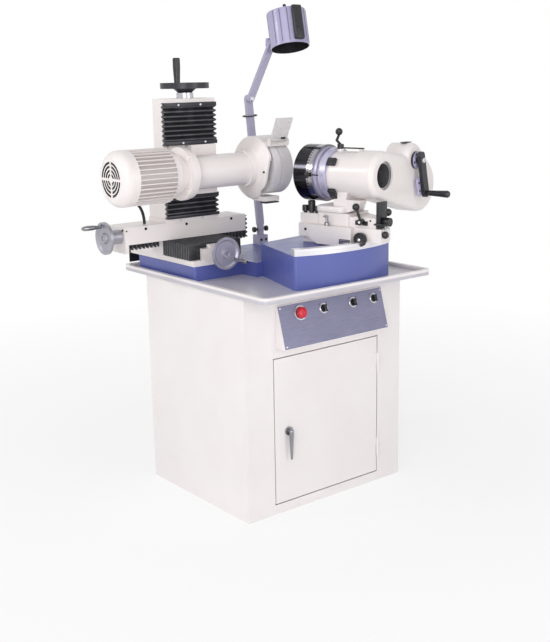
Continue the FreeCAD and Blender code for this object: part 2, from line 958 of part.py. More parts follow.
def pleated(low, high, across, deep, along, hollow):
    # A bellows: a ruled loft through alternating large and small frames, with a hollow cut through it.
    low, high, fold = float(low), float(high), float(size.pleat_deep)
    folds = max(2, round((high - low) / float(size.pleat_pitch)))
    frames = []
    for number in range(2 * folds + 1):
        inset = fold if number % 2 else 0.0
        reach = low + (high - low) * number / (2 * folds)
        left, right = float(across[0]) + inset, float(across[1]) - inset
        near, far = float(deep[0]) + inset, float(deep[1]) - inset
        corners = [(left, near), (right, near), (right, far), (left, far)]
        points = [frame_point(along, reach, first, second) for first, second in corners]
        frames.append(Part.makePolygon(points + points[:1]))
    outer = Part.makeLoft(frames, True, True)
    (left, right), (near, far) = hollow
    corners = [(left, near), (right, near), (right, far), (left, far)]
    points = [frame_point(along, low - 1, float(first), float(second)) for first, second in corners]
    opening = Part.Face(Part.makePolygon(points + points[:1]))
    core = opening.extrude(frame_point(along, high - low + 2, 0, 0))
    return outer.cut(core)


def frame_point(along, reach, first, second):
    if along == "x":
        return FreeCAD.Vector(reach, first, second)
    if along == "y":
        return FreeCAD.Vector(first, reach, second)
    return FreeCAD.Vector(first, second, reach)


def bellows():
    gap = size.slide_clearance
    centre = size.slide_centre
    wall = size.bellows_hollow
    across = both_sides(centre, size.saddle_wide)
    tall = (bed_top + gap, saddle_top - gap)
    rail_room = (both_sides(centre, size.rail_wide + gap * 4), (bed_top - wall, rail_top + 1))
    near = pleated(bracket_back + gap, saddle_front - gap, across, tall, "y", rail_room)
    far = pleated(saddle_back + gap, bed_back - gap, across, tall, "y", rail_room)
    node(formed("cross_bellows", Part.makeCompound([near, far])), "cross_bellows")
    side_tall = (way_top - size.end_plate_drop, saddle_top - gap)
    way_runs = []
    for span, near in (((size.table_left, across[0]), size.table_middle),
                       ((across[1], size.table_right), table_front + 4)):
        deep = (near, table_back - 4)
        room = ((deep[0] + wall, deep[1] - wall), (side_tall[0] - 1, side_tall[1] - wall))
        way_runs.append(pleated(span[0] + gap, span[1] - gap, deep, side_tall, "x", room))
    node(formed("way_bellows", Part.makeCompound(way_runs)), "way_bellows")
    sides = both_sides(size.column_centre, size.bellows_wide)
    ends = (size.column_front - size.bellows_deep - gap, size.column_front - gap)
    inside = (both_sides(size.column_centre, size.lift_channel_wide),
              (ends[0] + wall, size.column_front + wall))
    lower = pleated(foot_top + gap, head_low - gap, sides, ends, "z", inside)
    upper = pleated(head_high + gap, column_top - gap, sides, ends, "z", inside)
    node(formed("column_bellows", Part.makeCompound([lower, upper])), "column_bellows")


def column():
    centre = size.column_centre
    across = both_sides(centre, size.column_wide)
    foot_deep = (size.column_front - size.foot_forward, column_back + size.foot_back)
    foot = block("column_foot", both_sides(centre, size.foot_wide), foot_deep, (table_top, foot_top))
    shaft = block("column_shaft", across, (size.column_front, column_back), (foot_top, column_top))
    buttress = block("column_buttress", across, (column_back, foot_deep[1]),
                     (foot_top, foot_top + size.buttress_high))
    cap = block("column_cap", across, (size.column_front - size.bellows_deep, column_back),
                (column_top, cap_top))
    channel = block("column_channel", both_sides(centre, size.lift_channel_wide),
                    (size.column_front, size.column_front + size.lift_channel_deep), (foot_top, column_top))
    bore = rod("column_bore", lift_bore, (centre, lift_screw_y, table_top),
               size.column_high + size.cap_thick)
    node(cut("column", join("column_blank", foot, shaft, buttress, cap), channel, bore), "column")


def head():
    centre = size.column_centre
    gap = size.slide_clearance
    tall = (head_low, head_high)
    plate_y = size.column_front - size.head_thick
    plate = block("head_plate", both_sides(centre, size.head_wide), (plate_y, size.column_front - gap),
                  tall)
    tongue = block("head_tongue", both_sides(centre, size.lift_channel_wide - gap * 2),
                   (plate_y, size.column_front + size.lift_channel_deep - gap * 8), tall)
    across = (centre - size.cradle_left, centre + size.cradle_right)
    boss = block("head_boss", across, (size.column_front - size.cradle_deep, plate_y), tall)
    cradle = block("head_cradle", across, (spindle_y, size.column_front - size.cradle_deep),
                   both_sides(spindle_z, size.cradle_high))
    seat = rod("head_seat", size.tube_radius + gap / 2, (centre - size.head_wide, spindle_y, spindle_z),
               size.head_wide * 2, "x")
    bore = rod("head_bore", lift_bore, (centre, lift_screw_y, head_low), size.head_below + size.head_above)
    node(cut("head_slide", join("head_blank", plate, tongue, boss, cradle), seat, bore), "head_slide")
    inner = size.shaft_radius + size.running_clearance
    outer = size.bearing_radius
    near = size.bearing_inset + size.bearing_wide
    far = size.tube_long - near
    tube = turned(
        "spindle_housing",
        [(0, inner), (0, size.tube_radius), (size.tube_long, size.tube_radius), (size.tube_long, inner),
         (far, inner),
         (far, outer), (near, outer), (near, inner)],
        (tube_start, spindle_y, spindle_z),
        "x",
    )
    node(tube, "spindle_housing")


def motor():
    bell = size.motor_bell_long
    total = size.motor_fins_long + bell
    flange_start = total - size.flange_thick * 2
    bore = size.rotor_radius + size.air_gap
    shaft_hole = size.shaft_radius + size.air_gap
    body = turned(
        "motor_turned",
        [
            (0, bore), (0, size.motor_root_radius), (size.motor_fins_long, size.motor_root_radius),
            (size.motor_fins_long + bell * 0.25, size.motor_root_radius * 0.97),
            (size.motor_fins_long + bell * 0.5, size.motor_root_radius * 0.82),
            (flange_start, size.motor_root_radius * 0.76), (flange_start, size.flange_radius),
            (flange_start + size.flange_thick, size.flange_radius),
            (flange_start + size.flange_thick, size.flange_radius * 0.95),
            (total, size.flange_radius * 0.95),
            (total, shaft_hole), (total - size.flange_thick, shaft_hole), (total - size.flange_thick, bore),
        ],
        (fins_start, spindle_y, spindle_z),
        "x",
    )
    document.recompute()
    half = size.fin_thick / 2
    inner = size.motor_root_radius - size.fin_thick
    fin = body.newObject("PartDesign::Pad", "motor_fin")
    fin_outline = outline(
        body,
        "motor_fin_outline",
        "XY_Plane",
        [(inner, -half), (size.motor_fin_radius, -half), (size.motor_fin_radius, half), (inner, half)],
    )
    fin.Profile = fin_outline
    bind(fin, "Length", size.motor_fins_long)
    document.recompute()
    fins = body.newObject("PartDesign::PolarPattern", "motor_fins")
    fins.Originals = [fin]
    fins.Axis = (fin_outline, ["N_Axis"])
    fins.Angle = 360
    fins.Occurrences = motor_fin_count
    body.Tip = fins
    gland_foot = size.motor_root_radius - size.fin_thick
    gland_end = size.motor_fin_radius + size.gland_high
    stub = rod("gland_stub", size.gland_radius, (0, 0, -gland_end), gland_end - gland_foot)
    gland = group("motor_gland", stub)
    place(gland, (fins_start + size.gland_from_cowl, spindle_y, spindle_z))
    turn_by(gland, x_axis, size.gland_turn)
    node(join("motor_frame", body, gland), "motor_body")


def bend_points(reach, across, radius):
    # A quarter bend of a lathe profile, from the end face round to the side.
    angles = [math.pi / 2 * step / bend_steps for step in range(bend_steps + 1)]
    return [(reach - radius * math.cos(angle), across + radius * math.sin(angle)) for angle in angles]


def fan_cowl():
    radius = size.cowl_radius
    wall = size.cowl_wall
    bend = size.cowl_round
    outside = bend_points(bend, radius - bend, bend)
    inside = bend_points(bend, radius - bend, bend - wall)
    end = [(size.cowl_long, radius), (size.cowl_long, radius - wall)]
    shell = turned(
        "cowl_shell",
        [(0, 0), *outside, *end, *reversed(inside), (wall, 0)],
        (cowl_start, spindle_y, spindle_z),
        "x",
    )
    slots = []
    for number in range(4):
        outer = size.grille_radius - number * size.grille_step
        ring = turned(
            "grille_ring_%d" % (number + 1),
            [(-wall, outer - size.grille_ring), (-wall, outer), (wall * 2, outer),
             (wall * 2, outer - size.grille_ring)],
            (cowl_start, spindle_y, spindle_z),
            "x",
        )
        slots.append(ring)
    half = size.grille_spoke / 2
    reach = size.grille_radius + size.grille_ring
    level = (cowl_start - wall * 2, cowl_start + wall * 3)
    bars = [
        block("grille_bar_upright", level, (spindle_y - half, spindle_y + half),
              (spindle_z - reach, spindle_z + reach)),
        block("grille_bar_level", level, (spindle_y - reach, spindle_y + reach),
              (spindle_z - half, spindle_z + half)),
    ]
    opening = cut("grille_openings", join("grille_rings", *slots), join("grille_bars", *bars))
    node(cut("fan_cowl", shell, opening), "fan_cowl")


def spindle():
    at = (fins_start, spindle_y, spindle_z)
    wheel = wheel_start - fins_start
    end = cup_end - fins_start + size.nut_thick - size.cup_recess_deep + 4
    radius = size.shaft_radius
    fan_end = size.cowl_long * 0.6
    shaft = turned(
        "spindle_shaft",
        [
            (-fan_end, 0), (-fan_end, radius * 0.7), (0, radius * 0.7), (0, radius),
            (wheel - size.arbor_flange_thick, radius),
            (wheel - size.arbor_flange_thick, size.arbor_flange_radius),
            (wheel, size.arbor_flange_radius), (wheel, size.arbor_radius), (end, size.arbor_radius),
            (end, 0),
        ],
        at,
        "x",
    )
    node(shaft, "spindle_shaft")
    rotor_start = size.motor_fins_long * 0.1
    clear = size.running_clearance
    rotor = turned(
        "motor_rotor",
        [(rotor_start, radius + clear), (rotor_start, size.rotor_radius),
         (rotor_start + size.rotor_long, size.rotor_radius),
         (rotor_start + size.rotor_long, radius + clear)],
        at,
        "x",
    )
    node(rotor, "motor_rotor")
    fan_start = -fan_end
    hub = turned(
        "fan_hub",
        [(fan_start, radius * 0.7 + clear), (fan_start, radius * 1.6),
         (fan_start + size.fan_wide, radius * 1.6),
         (fan_start + size.fan_wide, radius * 0.7 + clear)],
        at,
        "x",
    )
    blades = []
    for number in range(fan_blade_count):
        blade = block("fan_blade_%d" % (number + 1), (radius * 1.4, size.fan_radius), (-1.5, 1.5),
                      (0, size.fan_wide))
        blade = group("fan_blade_set_%d" % (number + 1), blade)
        blade.Placement.Rotation = FreeCAD.Rotation(z_axis, 360 * number / fan_blade_count)
        blades.append(blade)
    blade_set = group("fan_blades", join("fan_blade_ring", *blades))
    place(blade_set, (fins_start + fan_start, spindle_y, spindle_z), turns["x"])
    node(join("cooling_fan", hub, blade_set), "cooling_fan")
    bore = size.arbor_radius + clear
    wheel_at = (wheel_start, spindle_y, spindle_z)
    disc = turned(
        "grinding_wheel",
        [(0, bore), (0, size.wheel_radius), (size.wheel_wide, size.wheel_radius), (size.wheel_wide, bore)],
        wheel_at,
        "x",
    )
    node(disc, "grinding_wheel")
    neck = size.wheel_radius - size.cup_groove_deep
    recess = size.cup_wide - size.cup_recess_deep
    cup = turned(
        "cup_wheel",
        [
            (0, bore), (0, neck), (size.cup_groove, neck), (size.cup_groove, size.wheel_radius),
            (size.cup_wide, size.wheel_radius), (size.cup_wide, size.cup_recess_radius),
            (recess, size.cup_recess_radius * 0.9), (recess, bore),
        ],
        (wheel_end, spindle_y, spindle_z),
        "x",
    )
    node(cup, "cup_wheel")
    nut = turned(
        "wheel_nut",
        [(recess, bore), (recess, size.nut_radius * 1.5), (recess + 3, size.nut_radius * 1.5),
         (recess + 3, size.nut_radius), (recess + size.nut_thick, size.nut_radius),
         (recess + size.nut_thick, bore)],
        (wheel_end, spindle_y, spindle_z),
        "x",
    )
    node(nut, "wheel_nut")


shield_pin_y = spindle_y - size.strap_front
shield_pin_z = spindle_z + size.guard_radius * 0.87
shield_start = tube_end + size.strap_reach - size.shield_wide - size.shield_lug * 2


# the wheel's opening in the front of the guard, round the spindle in shares of the guard's radius
guard_mouth = [(-1.3, 0.42), (-0.91, 0.39), (-0.93, 0.18), (-0.89, -0.05), (-0.85, -0.24), (-0.78, -0.45),
               (-0.66, -0.6), (-0.53, -0.68), (-0.45, -0.81), (-0.34, -0.92), (-0.34, -1.3), (-1.3, -1.3)]


def guard():
    wall = size.guard_wall
    radius = size.guard_radius
    inner = size.tube_radius + size.slide_clearance / 2
    collar = inner + size.guard_collar_wall
    start = -size.guard_collar
    reach = size.guard_reach
    flare = size.guard_flare
    lip = reach + size.guard_lip
    bell = turned(
        "guard_bell",
        [
            (start, inner), (start, collar), (0, collar), (flare * 0.5, radius * 0.8),
            (flare, radius * 0.95),
            (reach, radius), (lip, radius), (lip, radius - wall), (reach, radius - wall),
            (flare + wall, radius * 0.95 - wall), (flare * 0.5 + wall, radius * 0.8 - wall),
            (wall, collar - wall),
            (0, inner),
        ],
        (tube_end, spindle_y, spindle_z),
        "x",
    )
    mouth_corners = [(spindle_y + radius * across, spindle_z + radius * up) for across, up in guard_mouth]
    mouth = prism("guard_mouth", mouth_corners, tube_end - wall, tube_end + lip + wall, profile_along_x)
    bell = cut("guard_front", bell, mouth)
    rear_ring = turned(
        "guard_rear_ring",
        [(reach, radius - wall), (reach, radius), (size.guard_rear_reach, radius),
         (size.guard_rear_reach, radius - wall)],
        (tube_end, spindle_y, spindle_z),
        "x",
    )
    rear_half = block("guard_rear_half", (tube_end, tube_end + size.guard_rear_reach * 2),
                      (spindle_y + radius * 0.3, spindle_y + radius * 2),
                      (spindle_z - radius * 2, spindle_z + radius * 2))
    rear = shared("guard_rear", rear_ring, rear_half)
    across = (tube_end + reach, tube_end + size.strap_reach)
    strap_ring = turned(
        "strap_ring",
        [(reach, radius - wall), (reach, radius), (size.strap_reach, radius),
         (size.strap_reach, radius - wall)],
        (tube_end, spindle_y, spindle_z),
        "x",
    )
    strap_room = block("strap_room", across, (spindle_y - size.strap_front, spindle_y + size.strap_back),
                       (spindle_z, spindle_z + radius * 2))
    strap = shared("guard_strap", strap_ring, strap_room)
    rest_top = spindle_z - radius + size.rest_rise
    rest = block("guard_rest", (across[0], tube_end + size.rest_reach),
                 (spindle_y - size.rest_front, spindle_y + size.rest_back),
                 (rest_top - size.rest_thick, rest_top))
    lugs = []
    lug = size.shield_lug
    barrel = size.shield_barrel_radius
    far_lug = shield_start + lug + size.shield_wide
    for number, lug_start in enumerate((shield_start, far_lug), 1):
        ear = rod("shield_lug_%d" % number, barrel, (lug_start, shield_pin_y, shield_pin_z), lug, "x")
        leg = block("shield_leg_%d" % number, (lug_start, lug_start + lug),
                    (shield_pin_y - barrel, shield_pin_y + barrel),
                    (shield_pin_z - barrel * 3, shield_pin_z))
        lugs += [ear, leg]
    pin = rod("shield_pin", size.shield_pin_radius, (shield_start, shield_pin_y, shield_pin_z),
              far_lug - shield_start, "x")
    node(join("wheel_guard", bell, rear, strap, rest, pin, *lugs), "wheel_guard")


def shield():
    gap = size.slide_clearance
    lug_end = shield_start + size.shield_lug
    barrel_long = size.shield_wide - gap * 2
    barrel = rod("shield_barrel", size.shield_barrel_radius - gap, (gap, 0, 0), barrel_long, "x")
    half = size.shield_thick / 2
    pane = block("shield_pane", (gap, size.shield_wide - gap), (-half, half), (0, size.shield_long))
    bore = rod("shield_bore", size.shield_pin_radius + size.running_clearance, (0, 0, 0), size.shield_wide,
               "x")
    leaned = group("shield_leaned", cut("shield_blank", join("shield_sheet", barrel, pane), bore))
    place(leaned, (lug_end, shield_pin_y, shield_pin_z))
    turn_by(leaned, x_axis, size.shield_lean)
    node(leaned, "spark_shield")


def motor_cable():
    # From the gland under the motor to the table top, in straight runs joined by tangent arcs.
    turn = math.radians(float(size.gland_turn))
    outward = FreeCAD.Vector(0, math.sin(turn), -math.cos(turn))
    motor_middle = FreeCAD.Vector(float(fins_start + size.gland_from_cowl), float(spindle_y),
                                  float(spindle_z))
    start = motor_middle + outward * float(size.motor_fin_radius + size.gland_high)
    run = float(size.cable_run)
    end = FreeCAD.Vector(float(size.column_centre - size.cable_from_column),
                         float(size.column_front + size.cable_back),
                         float(table_top))
    points = [start, start + outward * run, end + z_axis * (run * 1.15), end]
    path, radii = rounded_route(points)
    print("motor cable radii", [round(radius, 1) for radius in radii])
    first_edge = path.Edges[0]
    direction = first_edge.tangentAt(first_edge.FirstParameter)
    section = Part.Wire(Part.makeCircle(float(size.cable_radius), start, direction))
    tube = path.makePipeShell([section], True, False)
    expected = math.pi * float(size.cable_radius) ** 2 * path.Length
    print("motor cable length", round(path.Length, 1), "volume share", round(tube.Volume / expected, 4))
    node(formed("motor_cable", tube), "motor_cable")


def rounded_route(points):
    share_of_run = 0.45
    edges = []
    radii = []
    last = points[0]
    for before, corner, after in zip(points, points[1:], points[2:]):
        into = (corner - before).normalize()
        out = (after - corner).normalize()
        turn = into.getAngle(out)
        trim = share_of_run * min((corner - before).Length, (after - corner).Length)
        radii.append(trim / math.tan(turn / 2))
        first = corner - into * trim
        third = corner + out * trim
        bisector = (out - into).normalize()
        middle = corner + bisector * (radii[-1] / math.cos(turn / 2) - radii[-1])
        edges.append(Part.makeLine(last, first))
        edges.append(Part.Arc(first, middle, third).toShape())
        last = third
    edges.append(Part.makeLine(last, points[-1]))
    return Part.Wire(edges), radii


def disc_handwheel(name, at, along, dial, screw_radius, grip_angle):
    # A dished handwheel with a graduated dial behind it and a turning grip on its rim.
    hub = size.disc_hub_radius
    radius = size.disc_radius
    thick = size.disc_thick
    bore = screw_radius + size.running_clearance
    wheel = turned(
        name + "_disc",
        [
            (0, bore), (0, hub * 1.25), (dial, hub * 1.25), (dial, radius * 0.9),
            (dial + thick * 0.3, radius),
            (dial + thick, radius), (dial + thick, radius - thick / 2),
            (dial + thick - size.disc_dish, radius - thick),
            (dial + thick - size.disc_dish, hub), (dial + thick + 3, hub * 0.8), (dial + thick + 3, bore),
        ],
    )
    pin_start = dial + thick - size.disc_dish - 2
    spot = (size.grip_offset * math.cos(grip_angle), size.grip_offset * math.sin(grip_angle))
    pin = rod(name + "_pin", size.grip_pin_radius, (*spot, pin_start), size.grip_long * 0.8)
    wheel_set = group(name + "_set", join(name + "_joined", wheel, pin))
    place(wheel_set, at, turns[along])
    node(wheel_set, name + "_handwheel")
    start = dial + thick + 1
    long = size.grip_long
    grip_bore = size.grip_pin_radius + size.running_clearance
    grip = turned(
        name + "_grip_turned",
        [
            (0, grip_bore), (0, size.grip_radius * 0.75), (long * 0.12, size.grip_radius * 0.6),
            (long * 0.4, size.grip_radius * 0.9), (long * 0.7, size.grip_radius),
            (long * 0.9, size.grip_radius * 0.85),
            (long, size.grip_radius * 0.5), (long, 0), (long * 0.82, 0), (long * 0.82, grip_bore),
        ],
        (*spot, start),
    )
    grip_set = group(name + "_grip_set", grip)
    place(grip_set, at, turns[along])
    node(grip_set, name + "_grip")


def cross_drive():
    start = size.pad_front - size.slide_clearance
    disc_handwheel("cross", (size.slide_centre, start, cross_screw_z), "-y", size.cross_dial,
                   size.cross_screw_radius, math.radians(-35))
    reach = size.cross_dial + size.disc_thick
    screw = rod("cross_leadscrew", size.cross_screw_radius,
                (size.slide_centre, start - reach, cross_screw_z),
                bed_back - start + reach - size.slide_clearance, "y")
    node(screw, "cross_leadscrew")


def long_drive():
    start = end_plate_left - size.slide_clearance
    disc_handwheel("long", (start, long_screw_y, long_screw_z), "-x", size.long_dial,
                   size.long_screw_radius, math.radians(20))
    reach = size.long_dial + size.disc_thick
    screw = rod("long_leadscrew", size.long_screw_radius, (start - reach, long_screw_y, long_screw_z),
                size.table_right - start + reach - size.slide_clearance, "x")
    node(screw, "long_leadscrew")


def lift_drive():
    centre = (size.column_centre, lift_screw_y)
    collar_low = cap_top + size.slide_clearance
    collar_high = collar_low + size.collar_high
    hub_top = collar_high + size.lift_hub_high
    radius = size.lift_screw_radius
    screw = turned(
        "lift_leadscrew",
        [
            (table_top + size.slide_clearance, 0), (table_top + size.slide_clearance, radius),
            (collar_low, radius),
            (collar_low, size.collar_radius), (collar_high, size.collar_radius), (collar_high, radius),
            (hub_top, radius), (hub_top, 0),
        ],
        (*centre, 0),
    )
    node(screw, "lift_leadscrew")
    hub = turned(
        "lift_hub",
        [
            (0, radius + size.running_clearance), (0, size.lift_hub_radius),
            (size.lift_hub_high * 0.5, size.rim_radius * 0.55),
            (size.lift_hub_high, size.rim_radius * 0.5),
            (size.lift_hub_high, radius + size.running_clearance),
        ],
    )
    rim_low = size.lift_hub_high * 0.42
    rim_high = size.lift_hub_high
    rim = turned(
        "lift_rim",
        [(rim_low, size.rim_radius - size.rim_thick), (rim_low, size.rim_radius + size.rim_thick * 0.6),
         (rim_high, size.rim_radius + size.rim_thick * 0.6), (rim_high, size.rim_radius - size.rim_thick)],
    )
    spokes = []
    for number in range(handwheel_spokes):
        spoke = block("lift_spoke_block_%d" % (number + 1),
                      (size.rim_radius * 0.4, size.rim_radius - size.rim_thick / 2),
                      (-9, 9), (rim_low, rim_high - 5))
        spoke = group("lift_spoke_%d" % (number + 1), spoke)
        spoke.Placement.Rotation = FreeCAD.Rotation(z_axis,
                                                    lift_grip_angle + 360 * number / handwheel_spokes)
        spokes.append(spoke)
    turn = math.radians(lift_grip_angle)
    spot = (size.rim_radius * math.cos(turn) * 0.94, size.rim_radius * math.sin(turn) * 0.94)
    pin = rod("lift_pin", size.grip_pin_radius, (*spot, rim_low), size.lift_grip_long * 0.8)
    wheel = group("lift_wheel_set", join("lift_wheel", hub, rim, pin, *spokes))
    place(wheel, (*centre, collar_high))
    node(wheel, "lift_handwheel")
    long = size.lift_grip_long
    grip_radius = size.lift_grip_radius
    bore = size.grip_pin_radius + size.running_clearance
    grip = turned(
        "lift_grip_turned",
        [(0, bore), (0, grip_radius * 0.8), (long * 0.6, grip_radius), (long * 0.96, grip_radius),
         (long, grip_radius * 0.8), (long, 0), (long * 0.7, 0), (long * 0.7, bore)],
        (*spot, rim_high + size.slide_clearance),
    )
    grip_set = group("lift_grip_set", grip)
    place(grip_set, (*centre, collar_high))
    node(grip_set, "lift_grip")


lift_grip_angle = 217


def lamp():
    centre = (size.lamp_x, size.lamp_y)
    wide = size.lamp_arm_wide
    gap = size.slide_clearance
    body = block("lamp_foot", both_sides(size.lamp_x, wide * 1.4),
                 both_sides(size.lamp_y, size.bracket_deep),
                 (pad_top, lamp_tilt_z))
    pin = rod("lamp_pin", size.lamp_pin_radius, (*centre, pad_top),
              size.lamp_bracket_high + size.lamp_pin_high)
    node(join("lamp_bracket", body, pin), "lamp_bracket")
    thick = size.lamp_arm_thick
    low = lamp_tilt_z + gap
    socket_high = size.lamp_pin_high + 6
    socket = rod("lamp_socket", size.lamp_pin_radius + 5, (*centre, low), socket_high)
    socket_bore = rod("lamp_socket_bore", size.lamp_pin_radius + size.running_clearance, (*centre, low),
                      size.lamp_pin_high)
    elbow_x = size.lamp_x - size.lamp_lower_lean
    elbow_z = lamp_tilt_z + size.lamp_lower_rise
    near = size.lamp_y - thick / 2
    half = wide / 2
    lower = bar_between("lamp_lower_bar", (size.lamp_x, low + socket_high + half * 0.6), (elbow_x, elbow_z),
                        half, near, thick)
    pivot = rod("lamp_elbow_pin", size.lamp_pivot_radius, (elbow_x, near - thick - gap, elbow_z),
                thick * 2 + gap, "y")
    arm = join("lamp_lower", cut("lamp_socket_cup", socket, socket_bore), lower, pivot)
    node(arm, "lamp_lower_arm")
    head_x = elbow_x + size.lamp_upper_run
    head_z = elbow_z + size.lamp_upper_rise
    upper_near = near - thick - gap
    upper = bar_between("lamp_upper_bar", (elbow_x, elbow_z), (head_x, head_z), half * 0.9, upper_near,
                        thick)
    elbow_bore = rod("lamp_elbow_bore", size.lamp_pivot_radius + size.running_clearance,
                     (elbow_x, upper_near - thick, elbow_z), thick * 3, "y")
    head_pin = rod("lamp_head_pin", size.lamp_pivot_radius, (head_x, upper_near, head_z), thick * 2 + gap,
                   "y")
    node(join("lamp_upper", cut("lamp_upper_drilled", upper, elbow_bore), head_pin), "lamp_upper_arm")
    radius = size.lamp_head_radius
    wall = size.lamp_head_wall
    high = size.lamp_head_high
    shell = turned(
        "lamp_shell",
        [(0, radius - wall), (0, radius), (high, radius), (high, 0), (high - wall, 0),
         (high - wall, radius - wall)],
    )
    bulb = turned(
        "lamp_bulb",
        [(high * 0.28, 0), (high * 0.34, radius * 0.3), (high * 0.6, radius * 0.4),
         (high * 0.8, radius * 0.26),
         (high, radius * 0.26), (high, 0)],
    )
    shade = group("lamp_shade", join("lamp_shade_joined", shell, bulb))
    room = group("lamp_room", rod("lamp_inner", radius - wall, (0, 0, 0), high - wall))
    # The shade hangs in front of the arm and leans its mouth to the front, on a bridge from the ear.
    for item in (shade, room):
        place(item, (size.lamp_head_across, -size.lamp_head_forward, -size.lamp_head_drop))
        turn_by(item, x_axis, -size.lamp_head_lean)
    ear = block("lamp_ear", (-half, size.lamp_ear_reach), (0, thick), (-half, half))
    ear_hole = rod("lamp_ear_hole", size.lamp_pivot_radius + size.running_clearance, (0, -thick, 0),
                   thick * 3, "y")
    bridge = block("lamp_bridge", (half + wall, size.lamp_ear_reach), (-size.lamp_bridge_deep, thick),
                   (-half, half))
    ear_piece = cut("lamp_ear_piece", join("lamp_ear_joined", ear, bridge), ear_hole, room)
    tilted = group("lamp_head_tilted", join("lamp_head_joined", shade, ear_piece))
    place(tilted, (head_x, near, head_z))
    turn_by(tilted, y_axis, size.lamp_head_tilt)
    node(tilted, "lamp_head")


def bar_between(name, low, high, half, near, thick):
    # A flat bar with round ends between two points of an XZ plane.
    run = high[0] - low[0]
    rise = high[1] - low[1]
    length = hypotenuse(run, rise)
    bar = block(name + "_bar", (-half, half), (0, thick), (0, length))
    low_eye = rod(name + "_low_eye", half, (0, 0, 0), thick, "y")
    high_eye = rod(name + "_high_eye", half, (0, 0, length), thick, "y")
    item = group(name, join(name + "_joined", bar, low_eye, high_eye))
    place(item, (low[0], near, low[1]))
    turn_by(item, y_axis, slope_angle(run, rise))
    return item


def cut_corner_slab(name, wide, near, far, low, high):
    # A slab along the work axis whose near right corner is cut away.
    half = wide / 2
    corners = [(-half, -near), (-half * 0.2, -near), (half, size.cut_back - near), (half, -far),
               (-half, -far)]
    return prism(name, corners, low, high)


def swing_base():
    across = both_sides(0, size.base_wide)
    slab = cut_corner_slab("base_slab", size.base_wide, size.base_near, size.base_far, arc_top, base_top)
    shoe = block("base_shoe", both_sides(0, size.shoe_wide),
                 (-size.base_far - size.shoe_long, -size.base_far - 2),
                 (plinth_top, arc_top))
    apron_low = plinth_top + size.apron_lift
    apron_end = size.apron_slope - apron_far
    apron = prism(
        "base_apron",
        [(-apron_near, apron_low), (-apron_far, apron_low), (apron_end, arc_top), (apron_end, base_top),
         (-apron_near, base_top)],
        across[0] - size.apron_thick,
        across[0],
        profile_along_x,
    )
    guide = block("base_guide", both_sides(0, size.guide_wide), (-size.guide_near, -size.base_far),
                  (base_top, base_top + size.guide_high))
    pin = rod("lock_pin", size.lock_pin_radius, (across[0] - size.apron_thick / 2, -lock_near, base_top),
              size.lock_high * 0.7)
    swung("swing_base", join("swing_base_joined", slab, shoe, apron, guide, pin))


feed_screw_z = base_top + size.guide_high + (size.slide_thick - size.guide_high) / 2
feed_screw_x = -size.slide_wide / 4


def feed_slide():
    gap = size.slide_clearance
    deep = (-size.slide_near, -size.base_far)
    slab = cut_corner_slab("slide_slab", size.slide_wide, size.slide_near, size.base_far, base_top,
                           slide_top)
    groove = block("slide_groove", both_sides(0, size.guide_wide + gap * 2), deep,
                   (base_top, base_top + size.guide_high + gap))
    bore = rod("slide_bore", size.feed_screw_radius + size.running_clearance,
               (feed_screw_x, -size.slide_near, feed_screw_z), size.slide_near * 0.3, "y")
    lever_pin = rod("lever_pin", size.lever_pin_radius,
                    (-size.slide_wide / 2 - size.lever_hub_long, -size.lever_near,
                    lever_z), size.lever_hub_long + 4, "x")
    swung("feed_slide", join("feed_slide_joined", cut("slide_body", slab, groove, bore), lever_pin))
    radius = size.feed_knob_radius
    long = size.feed_knob_long
    knob = turned(
        "feed_knob_turned",
        [
            (-size.slide_near * 0.28, 0), (-size.slide_near * 0.28, size.feed_screw_radius),
            (gap, size.feed_screw_radius),
            (gap, radius * 0.7), (long * 0.4, radius * 0.7), (long * 0.45, radius), (long, radius),
            (long, 0),
        ],
        (feed_screw_x, -size.slide_near, feed_screw_z),
        "-y",
    )
    swung("feed_knob", knob)


lever_z = base_top + size.slide_thick * 0.6


